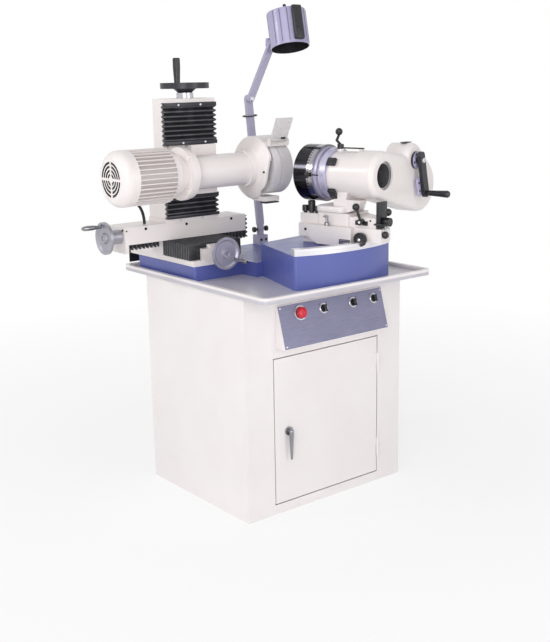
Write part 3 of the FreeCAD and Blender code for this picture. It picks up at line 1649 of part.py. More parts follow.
def small_levers():
    gap = size.slide_clearance
    stem = size.lever_stem_radius
    side = -size.slide_wide / 2 - gap
    long = size.lever_hub_long
    hub = rod("clamp_hub", size.lever_hub_radius, (-long, 0, 0), long, "x")
    stick = rod("clamp_stick", stem, (-long / 2, 0, 0), size.lever_rise)
    top = ball("clamp_ball", size.ball_radius, (-long / 2, 0, size.lever_rise))
    bore = rod("clamp_bore", size.lever_pin_radius + size.running_clearance, (-long * 2, 0, 0), long * 3,
               "x")
    leaned = group("clamp_leaned", cut("clamp_lever_cut", join("clamp_joined", hub, stick, top), bore))
    place(leaned, (side, -size.lever_near, lever_z))
    turn_by(leaned, x_axis, -size.lever_lean)
    swung("clamp_lever", leaned)
    low = work_z + size.barrel_radius + size.index_boss_high + gap
    spot = (0, -size.index_near)
    collar = rod("index_collar", size.index_boss_radius * 0.9, (*spot, low), size.index_hub_high)
    collar_bore = rod("index_bore", size.lever_pin_radius + size.running_clearance, (*spot, low),
                      size.index_hub_high * 0.7)
    bend = (-size.index_reach, low + size.index_rise)
    tip = (-size.index_reach * 0.4, low + size.index_rise + size.index_tip_rise)
    first = bar_round("index_stem", (0, low + size.index_hub_high * 0.85), bend, stem, -size.index_near)
    second = bar_round("index_tip", bend, tip, stem, -size.index_near)
    corner = ball("index_bend", stem, (bend[0], -size.index_near, bend[1]))
    knob = ball("index_ball", size.ball_radius, (tip[0], -size.index_near, tip[1] + size.ball_radius * 0.8))
    cup = cut("index_cup", collar, collar_bore)
    swung("index_lever", join("index_joined", cup, first, corner, second, knob))
    lock_x = -size.base_wide / 2 - size.apron_thick / 2
    lock_bore = size.lock_pin_radius + size.running_clearance
    high = size.lock_high
    radius = size.lock_radius
    lock = turned(
        "lock_turned",
        [
            (gap, lock_bore), (gap, radius * 1.5), (high * 0.3, radius * 1.5), (high * 0.36, radius * 0.75),
            (high * 0.75, radius * 0.75), (high * 0.8, radius), (high, radius * 0.9), (high, 0),
            (high * 0.72, 0),
            (high * 0.72, lock_bore),
        ],
        (lock_x, -lock_near, base_top),
    )
    wing = rod("lock_wing", stem * 0.8, (lock_x - radius * 3, -lock_near, base_top + high * 0.9),
               radius * 3, "x")
    swung("lock_handle", join("lock_joined", lock, wing))


def bar_round(name, low, high, radius, near):
    # A round bar between two points of the plane across the work axis.
    run = high[0] - low[0]
    rise = high[1] - low[1]
    stick = rod(name + "_rod", radius, (0, 0, 0), hypotenuse(run, rise))
    item = group(name, stick)
    place(item, (low[0], near, low[1]))
    turn_by(item, y_axis, slope_angle(run, rise))
    return item


def work_head():
    deep = (-size.skirt_near, -size.skirt_far)
    skirt_top = base_top + size.skirt_high
    skirt = block("skirt_block", both_sides(0, size.skirt_wide), deep,
                  (base_top + size.slide_clearance, skirt_top))
    skirt = rounded("skirt", skirt, size.skirt_corner, upright)
    ledge_top = skirt_top + size.ledge_thick
    ledge = block("ledge_block", both_sides(0, size.ledge_wide), (-size.ledge_near, -size.ledge_far),
                  (skirt_top, ledge_top))
    ledge = rounded("ledge_round", ledge, size.ledge_corner, upright)
    ledge = rounded("ledge", ledge, size.ledge_edge, lambda edge: not upright(edge))
    neck = prism(
        "neck",
        [(-size.neck_far, skirt_top), (-size.neck_waist, skirt_top), (-size.neck_waist, ledge_top),
         (-size.neck_near, work_z),
         (-size.neck_far, work_z)],
        *both_sides(0, size.neck_wide),
        profile_along_x,
    )
    web_top = work_z - size.cover_radius - size.slide_clearance
    web = prism(
        "web",
        [(-size.neck_waist, web_top), (-size.web_near, web_top),
         (-size.web_near * 0.98, web_top - size.web_drop),
         (-size.neck_waist, skirt_top)],
        -size.neck_wide / 2,
        size.web_wide - size.neck_wide / 2,
        profile_along_x,
    )
    barrel_long = size.barrel_near - size.barrel_far
    barrel = rod("barrel", size.barrel_radius, (0, -size.barrel_near, work_z), barrel_long, "y")
    slide_room = block("slide_room", both_sides(0, size.slide_wide + size.slide_clearance), deep,
                       (base_top, slide_top))
    bore = rod("barrel_bore", size.work_spindle_radius + size.running_clearance,
               (0, -size.skirt_near * 2, work_z),
               size.skirt_near * 2, "y")
    boss_top = work_z + size.barrel_radius + size.index_boss_high
    boss = rod("index_boss", size.index_boss_radius,
               (0, -size.index_near, boss_top - size.index_boss_high * 2),
               size.index_boss_high * 2)
    stud = rod("index_stud", size.lever_pin_radius, (0, -size.index_near, boss_top),
               size.index_hub_high * 0.6)
    blank = join("housing_blank", skirt, ledge, neck, web, barrel, boss, stud)
    swung("workhead_housing", cut("housing_cut", blank, slide_room, bore))
    ring = turned(
        "scale_ring_turned",
        [(0, size.work_spindle_radius + size.slide_clearance), (0, size.ring_radius),
         (size.ring_thick, size.ring_radius),
         (size.ring_thick, size.work_spindle_radius + size.slide_clearance)],
        (0, -size.barrel_far, work_z),
        "y",
    )
    swung("scale_ring", ring)
    drum_start = size.ring_thick + size.slide_clearance
    drum_end = size.barrel_far - size.drum_far
    radius = size.drum_radius
    drum = turned(
        "index_drum_turned",
        [
            (drum_start, size.work_spindle_radius + size.running_clearance), (drum_start, radius),
            (drum_end - size.drum_edge, radius), (drum_end, radius - size.drum_edge),
            (drum_end, size.work_bore_radius),
            (drum_end - size.drum_step, size.work_bore_radius),
            (drum_end - size.drum_step, size.work_spindle_radius + size.running_clearance),
        ],
        (0, -size.barrel_far, work_z),
        "y",
    )
    swung("index_drum", drum)
    spindle_near = -size.cover_near + size.cover_wall + 2
    spindle_far = -size.drum_far - size.drum_step - size.slide_clearance
    tube = turned(
        "work_tube",
        [(spindle_near, size.work_bore_radius), (spindle_near, size.work_spindle_radius),
         (spindle_far, size.work_spindle_radius), (spindle_far, size.work_bore_radius)],
        (0, 0, work_z),
        "y",
    )
    gear = gear_wheel("spindle_gear", spindle_gear_teeth, size.work_spindle_radius - 4, spindle_phase)
    place(gear, (0, gear_far - size.gear_wide, work_z), turns["y"])
    swung("work_spindle", join("work_spindle_joined", tube, gear))


def gear_wheel(name, teeth, bore, first_tooth):
    # Trapezoid teeth on a module that follows from the distance between the shafts.
    module = float(gear_module)
    pitch_radius = module * teeth / 2
    levels = ((pitch_radius - module, 0.30), (pitch_radius - 0.2 * module, 0.235),
              (pitch_radius + 0.7 * module, 0.12))
    points = []
    for number in range(teeth):
        middle = first_tooth + 2 * math.pi * number / teeth
        flank = [(radius, middle - share * 2 * math.pi / teeth) for radius, share in levels]
        flank += [(radius, middle + share * 2 * math.pi / teeth) for radius, share in reversed(levels)]
        points += [FreeCAD.Vector(radius * math.cos(turn), radius * math.sin(turn), 0) for radius,
                   turn in flank]
    face = Part.Face(Part.makePolygon(points + points[:1]))
    solid = face.extrude(FreeCAD.Vector(0, 0, float(size.gear_wide)))
    hole = Part.makeCylinder(float(bore), float(size.gear_wide))
    return formed(name, solid.cut(hole))


def meshed(direction, phase, teeth, next_teeth):
    # The first tooth of a gear that meshes with the last one, which lies the given way from it.
    return direction + math.pi - ((phase - direction) * teeth + math.pi) / next_teeth


def idler_place():
    # The idler's axis lies under the line from the spindle to the crank, one gear distance from each.
    across, rise = float(size.crank_across), float(size.crank_rise)
    centres = math.hypot(across, rise)
    first = float(gear_module) * (spindle_gear_teeth + idler_gear_teeth) / 2
    second = float(gear_module) * (idler_gear_teeth + crank_pinion_teeth) / 2
    reach = (first ** 2 - second ** 2 + centres ** 2) / (2 * centres)
    drop = math.sqrt(first ** 2 - reach ** 2)
    return (reach * across + drop * rise) / centres, (reach * rise - drop * across) / centres


# In a gear's own frame X is the work head's X and Y points down.
idler_x, idler_rise = idler_place()
spindle_phase = math.atan2(-idler_rise, idler_x)
idler_phase = meshed(spindle_phase, spindle_phase, spindle_gear_teeth, idler_gear_teeth)
crank_way = math.atan2(idler_rise - float(size.crank_rise), float(size.crank_across) - idler_x)
crank_phase = meshed(crank_way, idler_phase, idler_gear_teeth, crank_pinion_teeth)


def cylinder_along(radius, across, up, start, length):
    return Part.makeCylinder(float(radius), float(length),
                             FreeCAD.Vector(float(across), float(start), float(up)), y_axis)


def two_lobes(circles, inset, start, length):
    # The tight outline round two circles (x, z, radius), run along the work axis.
    first, second = [(float(across), float(up), float(radius) - inset) for across, up, radius in circles]
    run, rise = second[0] - first[0], second[1] - first[1]
    spread = math.acos((first[2] - second[2]) / math.hypot(run, rise))
    heading = math.atan2(rise, run)
    corners = []
    for side, pair in ((1, (first, second)), (-1, (second, first))):
        normal = heading + side * spread
        for across, up, radius in pair:
            corners.append(FreeCAD.Vector(across + radius * math.cos(normal), start,
                                          up + radius * math.sin(normal)))
    link = Part.Face(Part.makePolygon(corners + corners[:1])).extrude(FreeCAD.Vector(0, length, 0))
    discs = [cylinder_along(radius, across, up, start, length) for across, up, radius in (first, second)]
    return link.multiFuse(discs).removeSplitter()


def gear_case(inset, start, length):
    main = (0, work_z, size.cover_radius)
    lobe = (size.lobe_across, work_z - size.lobe_drop, size.lobe_radius)
    boss = (size.crank_across, crank_z, size.boss_radius)
    return two_lobes((main, lobe), inset, start,
                     length).fuse(two_lobes((lobe, boss), inset, start, length)).removeSplitter()


def gear_cover():
    wall = float(size.cover_wall)
    near = -float(size.cover_near)
    deep = float(size.cover_deep)
    body = gear_case(0, near, deep)
    rear_edges = [edge for edge in body.Edges if abs(edge.BoundBox.YMax - near) < 0.01]
    body = body.makeFillet(float(size.cover_edge), rear_edges)
    cavity = gear_case(wall, near + wall, deep - wall * 2)
    rear_edges = [edge for edge in cavity.Edges if abs(edge.BoundBox.YMax - near - wall) < 0.01]
    cavity = cavity.makeFillet(float(size.cover_edge) - wall, rear_edges)
    holes = [
        cylinder_along(size.cover_hole_radius, 0, work_z, near - 1, wall + 2),
        cylinder_along(size.work_spindle_radius + size.slide_clearance, 0, work_z, near + deep - wall - 1,
                       wall + 2),
        cylinder_along(size.crank_shaft_radius + size.running_clearance, size.crank_across, crank_z,
                       near - 1, wall + 2),
    ]
    shell = body.cut(cavity).cut(holes[0].multiFuse(holes[1:]))
    pin = cylinder_along(size.idler_pin_radius, idler_x, work_z + idler_rise, near + wall / 2, deep - wall)
    swung("gear_cover", formed("gear_cover_shell", shell.fuse(pin)))
    idler = gear_wheel("idler_wheel", idler_gear_teeth, size.idler_pin_radius + size.running_clearance,
                       idler_phase)
    place(idler, (idler_x, gear_far - size.gear_wide, work_z + idler_rise), turns["y"])
    swung("idler_gear", idler)


def crank():
    gap = size.slide_clearance
    face = -size.cover_near - gap
    arm_far = face - size.crank_flange_thick - size.crank_stand
    arm_near = arm_far - size.crank_arm_thick
    centre = (size.crank_across, crank_z)
    shaft = rod("crank_shaft", size.crank_shaft_radius, (centre[0], arm_near, centre[1]),
                gear_far - arm_near, "y")
    flange = rod("crank_flange", size.crank_flange_radius,
                 (centre[0], face - size.crank_flange_thick, centre[1]),
                 size.crank_flange_thick, "y")
    half = size.crank_arm_wide / 2
    throw = size.crank_throw
    bar = block("crank_bar", (-half, half), (0, size.crank_arm_thick), (-throw, size.crank_over))
    top_eye = rod("crank_top_eye", half, (0, 0, size.crank_over), size.crank_arm_thick, "y")
    end_eye = rod("crank_end_eye", half, (0, 0, -throw), size.crank_arm_thick, "y")
    pin_long = size.crank_grip_long * 0.85
    pin = rod("crank_pin", size.crank_pin_radius, (0, -pin_long, -throw), pin_long, "y")
    arm = group("crank_bar_set", join("crank_bar_joined", bar, top_eye, end_eye, pin))
    place(arm, (centre[0], arm_near, centre[1]))
    turn_by(arm, y_axis, -size.crank_turn)
    pinion = gear_wheel("crank_pinion", crank_pinion_teeth, size.crank_shaft_radius - 4, crank_phase)
    place(pinion, (centre[0], gear_far - size.gear_wide, centre[1]), turns["y"])
    swung("crank_arm", join("crank_joined", shaft, flange, arm, pinion))
    long = size.crank_grip_long
    radius = size.crank_grip_radius
    bore = size.crank_pin_radius + size.running_clearance
    grip_x = centre[0] + throw * sine(size.crank_turn)
    grip_z = centre[1] - throw * cosine(size.crank_turn)
    grip = turned(
        "crank_grip_turned",
        [(gap, bore), (gap, radius * 0.7), (long * 0.5, radius * 0.85), (long * 0.94, radius),
         (long, radius * 0.8),
         (long, 0), (long * 0.9, 0), (long * 0.9, bore)],
        (grip_x, arm_near, grip_z),
        "-y",
    )
    swung("crank_grip", grip)


def build():
    cabinet()
    tray()
    door()
    door_handle()
    control_box()
    controls()
    base_casting()
    cross_bed()
    saddle()
    long_table()
    bellows()
    column()
    head()
    motor()
    fan_cowl()
    spindle()
    guard()
    shield()
    motor_cable()
    cross_drive()
    long_drive()
    lift_drive()
    lamp()
    swing_base()
    feed_slide()
    small_levers()
    work_head()
    gear_cover()
    crank()
    document.recompute()


build()
failed = [item.Name for item in document.Objects if {"Invalid", "Error"} & set(item.State)]
if failed:
    raise RuntimeError("features that did not build: " + ", ".join(failed))
for item in nodes:
    if item.Shape.isNull() or not item.Shape.isValid() or not item.Shape.Solids:
        raise RuntimeError("no sound solid for " + item.Label)
os.makedirs("parts", exist_ok=True)
for item in nodes:
    item.Shape.exportStep("parts/%s.step" % item.Label)
print(len(nodes), "sub-parts written")
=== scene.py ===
import math

import bpy
from mathutils import Matrix, Vector


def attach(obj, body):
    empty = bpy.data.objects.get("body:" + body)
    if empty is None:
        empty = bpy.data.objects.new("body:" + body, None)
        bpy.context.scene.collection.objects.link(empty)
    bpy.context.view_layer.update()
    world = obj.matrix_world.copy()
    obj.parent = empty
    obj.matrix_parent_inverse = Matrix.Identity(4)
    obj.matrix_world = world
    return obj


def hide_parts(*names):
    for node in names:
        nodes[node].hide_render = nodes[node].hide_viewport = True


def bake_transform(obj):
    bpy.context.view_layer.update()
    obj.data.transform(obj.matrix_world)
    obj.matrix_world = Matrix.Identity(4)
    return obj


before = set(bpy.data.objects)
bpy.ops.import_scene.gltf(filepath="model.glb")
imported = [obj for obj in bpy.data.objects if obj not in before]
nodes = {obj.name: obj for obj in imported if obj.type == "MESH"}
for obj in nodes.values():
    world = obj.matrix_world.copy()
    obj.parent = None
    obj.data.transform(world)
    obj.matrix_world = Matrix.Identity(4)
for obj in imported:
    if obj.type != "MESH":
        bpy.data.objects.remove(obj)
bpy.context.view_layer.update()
print("frame loaded,", len(nodes), "nodes")


def at(x, y, z):
    return Vector((x, y, z)) / 1000  # millimetres to metres


# the turned frame of the work head and the sloping frame of the control plate
swing = Matrix.Translation(at(34, 135, 0)) @ Matrix.Rotation(math.radians(12.4), 4, "Z")
plateTilt = math.atan2(36, 126)
plateFrame = Matrix.Translation(at(11, -300, 519)) @ Matrix.Rotation(math.pi / 2 - plateTilt, 4, "X")


class Wire:
    # one output of a shader node, so that maths reads as maths
    def __init__(self, finish, socket):
        self.finish = finish
        self.socket = socket

    def sum(self, operation, *others):
        return self.finish.add("ShaderNodeMath", {"operation": operation}, dict(enumerate((self, *others))))

    def __add__(self, other):
        return self.sum("ADD", other)

    def __sub__(self, other):
        return self.sum("SUBTRACT", other)

    def __mul__(self, other):
        return self.sum("MULTIPLY", other)

    def __lt__(self, other):
        return self.sum("LESS_THAN", other)

    def __gt__(self, other):
        return self.sum("GREATER_THAN", other)

    def __abs__(self):
        return self.sum("ABSOLUTE")

    __radd__ = __add__


class Finish:
    # one material: fixed sockets first, then whatever changes over the surface
    def __init__(self, name, **fixed):
        self.material = bpy.data.materials.new(name)
        self.material.use_nodes = True
        self.tree = self.material.node_tree
        self.shader = self.tree.nodes["Principled BSDF"]
        self.put(self.shader, {socket.replace("_", " "): value for socket, value in fixed.items()})
        self.place = self.add("ShaderNodeTexCoord", {}, {}, "Object")

    def put(self, node, sockets):
        for socket, value in sockets.items():
            if isinstance(value, Wire):
                self.tree.links.new(value.socket, node.inputs[socket])
            else:
                node.inputs[socket].default_value = value

    def add(self, kind, settings, sockets, out=0):
        node = self.tree.nodes.new(kind)
        for setting, value in settings.items():
            setattr(node, setting, value)
        self.put(node, sockets)
        return Wire(self, node.outputs[out])

    def colour(self):
        return Wire(self, self.shader.inputs["Base Color"].links[0].from_socket)

    def give(self, **changing):
        self.put(self.shader, {socket.replace("_", " "): value for socket, value in changing.items()})

    def vector(self, operation, first, second=None, out=0):
        sockets = {0: first} if second is None else {0: first, 1: second}
        return self.add("ShaderNodeVectorMath", {"operation": operation}, sockets, out)

    def stretched(self, scale):
        return self.add("ShaderNodeMapping", {}, {"Vector": self.place, "Scale": scale})

    def noise(self, scale, detail=2.0, place=None):
        sockets = {"Vector": place or self.place, "Scale": scale, "Detail": detail}
        return self.add("ShaderNodeTexNoise", {}, sockets)

    def spread(self, value, low, high, first=0.0, last=1.0):
        sockets = {"Value": value, "From Min": low, "From Max": high, "To Min": first, "To Max": last}
        return self.add("ShaderNodeMapRange", {"clamp": True}, sockets)

    def mixed(self, mask, first, second):
        sockets = {0: mask}
        for socket, colour in ((6, first), (7, second)):
            sockets[socket] = colour if isinstance(colour, Wire) else (*colour, 1)
        return self.add("ShaderNodeMix", {"data_type": "RGBA"}, sockets, 2)

    def bumped(self, height, strength, distance=0.001):
        sockets = {"Height": height, "Strength": strength, "Distance": distance}
        self.give(Normal=self.add("ShaderNodeBump", {}, sockets))

    def polar(self, centre, axis, zero):
        # turns (0 to 1), radius and height about an axis
        axis, zero = Vector(axis).normalized(), Vector(zero).normalized()
        arm = self.vector("SUBTRACT", self.place, tuple(centre))
        across = self.vector("DOT_PRODUCT", arm, tuple(zero), "Value")
        up = self.vector("DOT_PRODUCT", arm, tuple(axis.cross(zero)), "Value")
        high = self.vector("DOT_PRODUCT", arm, tuple(axis), "Value")
        turns = up.sum("ARCTAN2", across) * (0.5 / math.pi) + 0.5
        return turns, (across * across + up * up).sum("SQRT"), high

    def lines(self, turns, count, share):
        # 1 on each of count evenly spaced lines, share of the pitch wide
        part = (turns * count).sum("FRACT")
        return abs(part - 0.5) > 0.5 - share / 2

    def between(self, value, low, high):
        return (value > low) * (value < high)


# enamel: a faint drift of tone, fine specks and orange peel
def enamel(name, colour, shade, roughness, peel):
    finish = Finish(name, Coat_Roughness=0.12, IOR=1.5)
    drift = finish.noise(5.0, 4.0)
    tone = finish.mixed(finish.spread(drift, 0.35, 0.7), colour, shade)
    speck = finish.noise(1400.0, 1.0)
    dark = tuple(channel * 0.8 for channel in shade)
    finish.give(Base_Color=finish.mixed(finish.spread(speck, 0.66, 0.78, 0.0, 0.35), tone, dark))
    smear = finish.noise(22.0, 5.0)
    finish.give(Roughness=finish.spread(smear, 0.3, 0.75, roughness - 0.05, roughness + 0.08))
    finish.give(Coat_Weight=finish.spread(smear, 0.3, 0.7, 0.32, 0.2))
    finish.bumped(finish.noise(420.0, 2.0) + finish.noise(90.0, 1.0) * 0.6, peel, 0.0006)
    return finish


# metal with fine grinding lines that run along one axis
def ground(name, colour, roughness, run, metal=0.9):
    finish = Finish(name, Metallic=metal)
    line = finish.noise(1.0, 3.0, finish.stretched(run))
    cloud = finish.noise(14.0, 3.0)
    dark = tuple(channel * 0.72 for channel in colour)
    finish.give(Base_Color=finish.mixed(finish.spread(line + cloud * 0.5, 0.5, 1.0), dark, colour))
    finish.give(Roughness=finish.spread(line, 0.3, 0.7, roughness - 0.08, roughness + 0.12))
    finish.bumped(line, 0.08, 0.0003)
    return finish


# metal turned on a lathe: rings about an axis, with an optional band of graduations
def lathed(name, colour, roughness, centre, axis, zero, marks=None, metal=0.85, depth=0.22):
    finish = Finish(name, Metallic=metal)
    turns, radius, high = finish.polar(centre, axis, zero)
    flat = finish.add("ShaderNodeCombineXYZ", {}, {0: radius, 1: high})
    ring = finish.add("ShaderNodeTexNoise", {"noise_dimensions": "2D"},
                      {"Vector": flat, "Scale": 900.0, "Detail": 2.0})
    cloud = finish.noise(20.0, 3.0)
    dark = tuple(channel * (1 - depth) for channel in colour)
    tone = finish.mixed(finish.spread(ring + cloud * 0.5, 0.45, 1.0), dark, colour)
    for mark in marks or ():
        band = finish.between(radius, *mark["radius"]) * finish.between(high, *mark["high"])
        if "count" in mark:
            band = finish.lines(turns, mark["count"], mark["share"]) * band
        tone = finish.mixed(band, tone, mark.get("ink", (0.01, 0.01, 0.012)))
    finish.give(Base_Color=tone)
    finish.give(Roughness=finish.spread(ring, 0.3, 0.7, roughness - 0.05, roughness + depth * 0.4))
    finish.bumped(ring, depth * 0.45, 0.0002)
    return finish


# moulded plastic: even colour, a little mould grain and handling gloss
def moulded(name, colour, roughness, grain=0.1):
    finish = Finish(name, IOR=1.48)
    cloud = finish.noise(60.0, 4.0)
    pale = tuple(min(1.0, channel * 1.25 + 0.004) for channel in colour)
    finish.give(Base_Color=finish.mixed(finish.spread(cloud, 0.35, 0.75), colour, pale))
    finish.give(Roughness=finish.spread(cloud, 0.3, 0.7, roughness - 0.06, roughness + 0.1))
    finish.bumped(finish.noise(1800.0, 2.0), grain, 0.0002)
    return finish


# coated cloth for the bellows: a fine weave under rubber, dust on the folds
def foldedCloth(name, colour, dusty):
    finish = Finish(name, IOR=1.45)
    threads = {"Vector": finish.place, "Scale": 330.0}
    weave = finish.add("ShaderNodeTexWave", {"bands_direction": "X"}, threads)
    weft = finish.add("ShaderNodeTexWave", {"bands_direction": "Z"}, threads)
    dust = finish.noise(35.0, 5.0)
    finish.give(Base_Color=finish.mixed(finish.spread(dust, 0.45, 0.8), colour, dusty))
    finish.give(Roughness=finish.spread(dust, 0.3, 0.7, 0.34, 0.5))
    finish.bumped(weave * weft, 0.12, 0.0003)
    return finish


# bonded grit: grains of several tones with pits between them
def bondedGrit(name, colour, dark, grain):
    finish = Finish(name, Roughness=0.9)
    grit = finish.add("ShaderNodeTexVoronoi", {}, {"Vector": finish.place, "Scale": grain})
    fine = finish.noise(grain * 1.7, 3.0)
    cloud = finish.noise(30.0, 3.0)
    mask = finish.spread(grit * 0.7 + fine * 0.5 + cloud * 0.25, 0.35, 0.95)
    finish.give(Base_Color=finish.mixed(mask, colour, dark))
    finish.bumped(grit + fine, 0.2, 0.0005)
    return finish


castCream = (0.86, 0.805, 0.79), (0.82, 0.765, 0.755)
sheetCream = (0.87, 0.825, 0.825), (0.835, 0.785, 0.79)
creamCasting = enamel("creamCasting", *castCream, 0.36, 0.35)
creamSheet = enamel("creamSheet", *sheetCream, 0.33, 0.18)
blueCasting = enamel("blueCasting", (0.098, 0.124, 0.395), (0.084, 0.106, 0.355), 0.38, 0.3)
lilacPaint = enamel("lilacPaint", (0.47, 0.44, 0.64), (0.42, 0.39, 0.59), 0.36, 0.2)
# painted shadow lines: a dark lilac for the ribs on the lamp shade
ribShadowPaint = enamel("ribShadowPaint", (0.17, 0.16, 0.25), (0.14, 0.13, 0.21), 0.40, 0.2)
armPaint = enamel("armPaint", (0.42, 0.395, 0.535), (0.37, 0.345, 0.48), 0.38, 0.2)
groundSteel = ground("groundSteel", (0.72, 0.71, 0.75), 0.30, (30, 900, 900))
shaftSteel = ground("shaftSteel", (0.62, 0.61, 0.64), 0.28, (900, 900, 900))
chrome = ground("chrome", (0.36, 0.36, 0.385), 0.14, (60, 60, 60), 1.0)
blackSteel = ground("blackSteel", (0.035, 0.034, 0.042), 0.34, (400, 400, 60), 0.3)
blackKnob = moulded("blackKnob", (0.012, 0.012, 0.015), 0.22, 0.04)
blackGrip = moulded("blackGrip", (0.014, 0.014, 0.018), 0.3)
redKnob = moulded("redKnob", (0.62, 0.012, 0.03), 0.24, 0.05)
whiteGrit = bondedGrit("whiteGrit", (0.94, 0.915, 0.93), (0.82, 0.79, 0.82), 900.0)
paleGrit = bondedGrit("paleGrit", (0.90, 0.865, 0.885), (0.74, 0.70, 0.725), 900.0)
bellowsCloth = foldedCloth("bellowsCloth", (0.014, 0.014, 0.017), (0.04, 0.04, 0.047))
# painted highlight: a paler cloth for the ridges of the folds
ridgeHighlightCloth = foldedCloth("ridgeHighlightCloth", (0.06, 0.06, 0.068), (0.13, 0.13, 0.145))
cableJacket = moulded("cableJacket", (0.010, 0.010, 0.012), 0.45, 0.2)
# painted shade: a near-black enamel for the disc behind the fan grille
shadeDiscDark = enamel("shadeDiscDark", (0.03, 0.03, 0.035), (0.02, 0.02, 0.024), 0.6, 0.2)


# the tray: enamel whose sunken floor is painted greyer as painted shade in the recess, with scuffs from
# work
def trayEnamel():
    finish = enamel("trayEnamel", *sheetCream, 0.34, 0.2)
    high = finish.add("ShaderNodeSeparateXYZ", {}, {0: finish.place}, 2)
    scuff = finish.noise(9.0, 6.0)
    # painted shade: the sunken floor takes a darker lilac-grey than the rim
    floor = finish.mixed(finish.spread(scuff, 0.3, 0.75), (0.58, 0.555, 0.60), (0.50, 0.485, 0.545))
    sunkenShade = finish.spread(high, 0.6905, 0.694, 1.0, 0.0)
    finish.give(Base_Color=finish.mixed(sunkenShade, finish.colour(), floor))
    return finish


# the pale see-through sheet of the spark shield
def shieldSheet():
    finish = Finish("shieldSheet", IOR=1.47, Transmission_Weight=0.45)
    haze = finish.noise(45.0, 4.0)
    cloudy = finish.spread(haze, 0.35, 0.7)
    finish.give(Base_Color=finish.mixed(cloudy, (0.92, 0.89, 0.90), (0.88, 0.85, 0.86)))
    finish.give(Roughness=finish.spread(haze, 0.3, 0.7, 0.26, 0.34))
    return finish


# the lamp shade: pale outside, with painted shade making the inside near black
shade = (Matrix.Translation(at(178, 214, 1397)) @ Matrix.Rotation(math.radians(4.3), 4, "Y")
         @ Matrix.Translation(at(7, -93, -19)) @ Matrix.Rotation(math.radians(-15.4), 4, "X"))


def shadeEnamel():
    finish = enamel("shadeEnamel", (0.405, 0.378, 0.57), (0.36, 0.335, 0.52), 0.36, 0.2)
    turn = shade.to_3x3()
    radius, high = finish.polar(shade.translation, turn @ Vector((0, 0, 1)), turn @ Vector((0, 1, 0)))[1:]
    # painted shade: everything within the shade's inner radius is painted near black
    inside = finish.between(radius, -1.0, 0.0611) * finish.between(high, -0.001, 0.1138)
    finish.give(Base_Color=finish.mixed(inside, finish.colour(), (0.02, 0.02, 0.024)))
    return finish


# the motor: painted shade between the fins, and painted shade in dark slots in the end of the cowl
def finnedEnamel():
    finish = enamel("finnedEnamel", *castCream, 0.36, 0.35)
    radius, high = finish.polar(at(-484, 55, 1012), (1, 0, 0), (0, 0, 1))[1:]
    # painted shade: the roots of the fins are painted darker
    finRootShade = finish.spread(radius, 0.0735, 0.079, 1.0, 0.0) * finish.between(high, 0.0, 0.1285)
    finish.give(Base_Color=finish.mixed(finRootShade, finish.colour(), (0.52, 0.475, 0.46)))
    return finish


def cowlEnamel():
    finish = enamel("cowlEnamel", *castCream, 0.36, 0.35)
    cowlEnd = at(-535, 55, 1012)
    radius, high = finish.polar(cowlEnd, (1, 0, 0), (0, 0, 1))[1:]
    outers = 0.050, 0.039, 0.028, 0.017
    # painted shade: near-black rings, a little wider than the cut slots, on the cowl's end face
    slotShade = sum(finish.between(radius, outer - 0.006, outer + 0.001) for outer in outers)
    arm = finish.vector("ABSOLUTE", finish.vector("SUBTRACT", finish.place, tuple(cowlEnd)))
    bars = [finish.add("ShaderNodeSeparateXYZ", {}, {0: arm}, out) > 0.0038 for out in (1, 2)]
    slotShade = slotShade * bars[0] * bars[1] * (high < 0.0024)
    finish.give(Base_Color=finish.mixed(slotShade, finish.colour(), (0.012, 0.012, 0.014)))
    return finish


trayFinish = trayEnamel()
finnedFinish = finnedEnamel()
cowlFinish = cowlEnamel()
shieldFinish = shieldSheet()
shadeFinish = shadeEnamel()
plateMetal = ground("plateMetal", (0.255, 0.253, 0.375), 0.42, (25, 700, 700), 0.35)
across, up, along = (1, 0, 0), (0, 0, 1), (0, 1, 0)
workWay = swing.to_3x3() @ Vector(along)
workSide = swing.to_3x3() @ Vector(across)
workMiddle = swing @ at(0, 0, 1000)
dial = {"radius": (0.0225, 0.0275), "count": 50, "share": 0.16}
crossWheel = lathed("crossWheelMetal", (0.47, 0.45, 0.53), 0.38, at(-203, 0, 771), along, up,
                    [{**dial, "high": (-0.022, -0.004)}], 0.55)
longWheel = lathed("longWheelMetal", (0.42, 0.41, 0.46), 0.38, at(-450, 170, 828), across, up,
                   [{**dial, "high": (-0.036, -0.012)}], 0.55)
ringMetal = lathed("ringMetal", (0.56, 0.54, 0.70), 0.38, workMiddle, workWay, workSide,
                   metal=0.5, depth=0.12)
drumMetal = lathed("drumMetal", (0.040, 0.039, 0.046), 0.17, workMiddle, workWay, workSide,
                   [{"radius": (0.078, 0.0875), "high": (-0.3100, -0.2785), "ink": (0.40, 0.385, 0.41)},
                    {"radius": (0.084, 0.0875), "high": (-0.2865, -0.2795), "count": 60, "share": 0.30},
                    {"radius": (0.084, 0.0875), "high": (-0.2999, -0.2925), "count": 120, "share": 0.16}],
                   1.0, 0.08)
arcSteel = lathed("arcSteel", (0.88, 0.865, 0.90), 0.30, at(34, 135, 800), up, (0, -1, 0),
                  [{"radius": (0.471, 0.4785), "high": (0.0095, 0.011), "count": 360, "share": 0.05},
                   {"radius": (0.466, 0.4785), "high": (0.0095, 0.011), "count": 72, "share": 0.013}], 0.8)
print("finishes made")

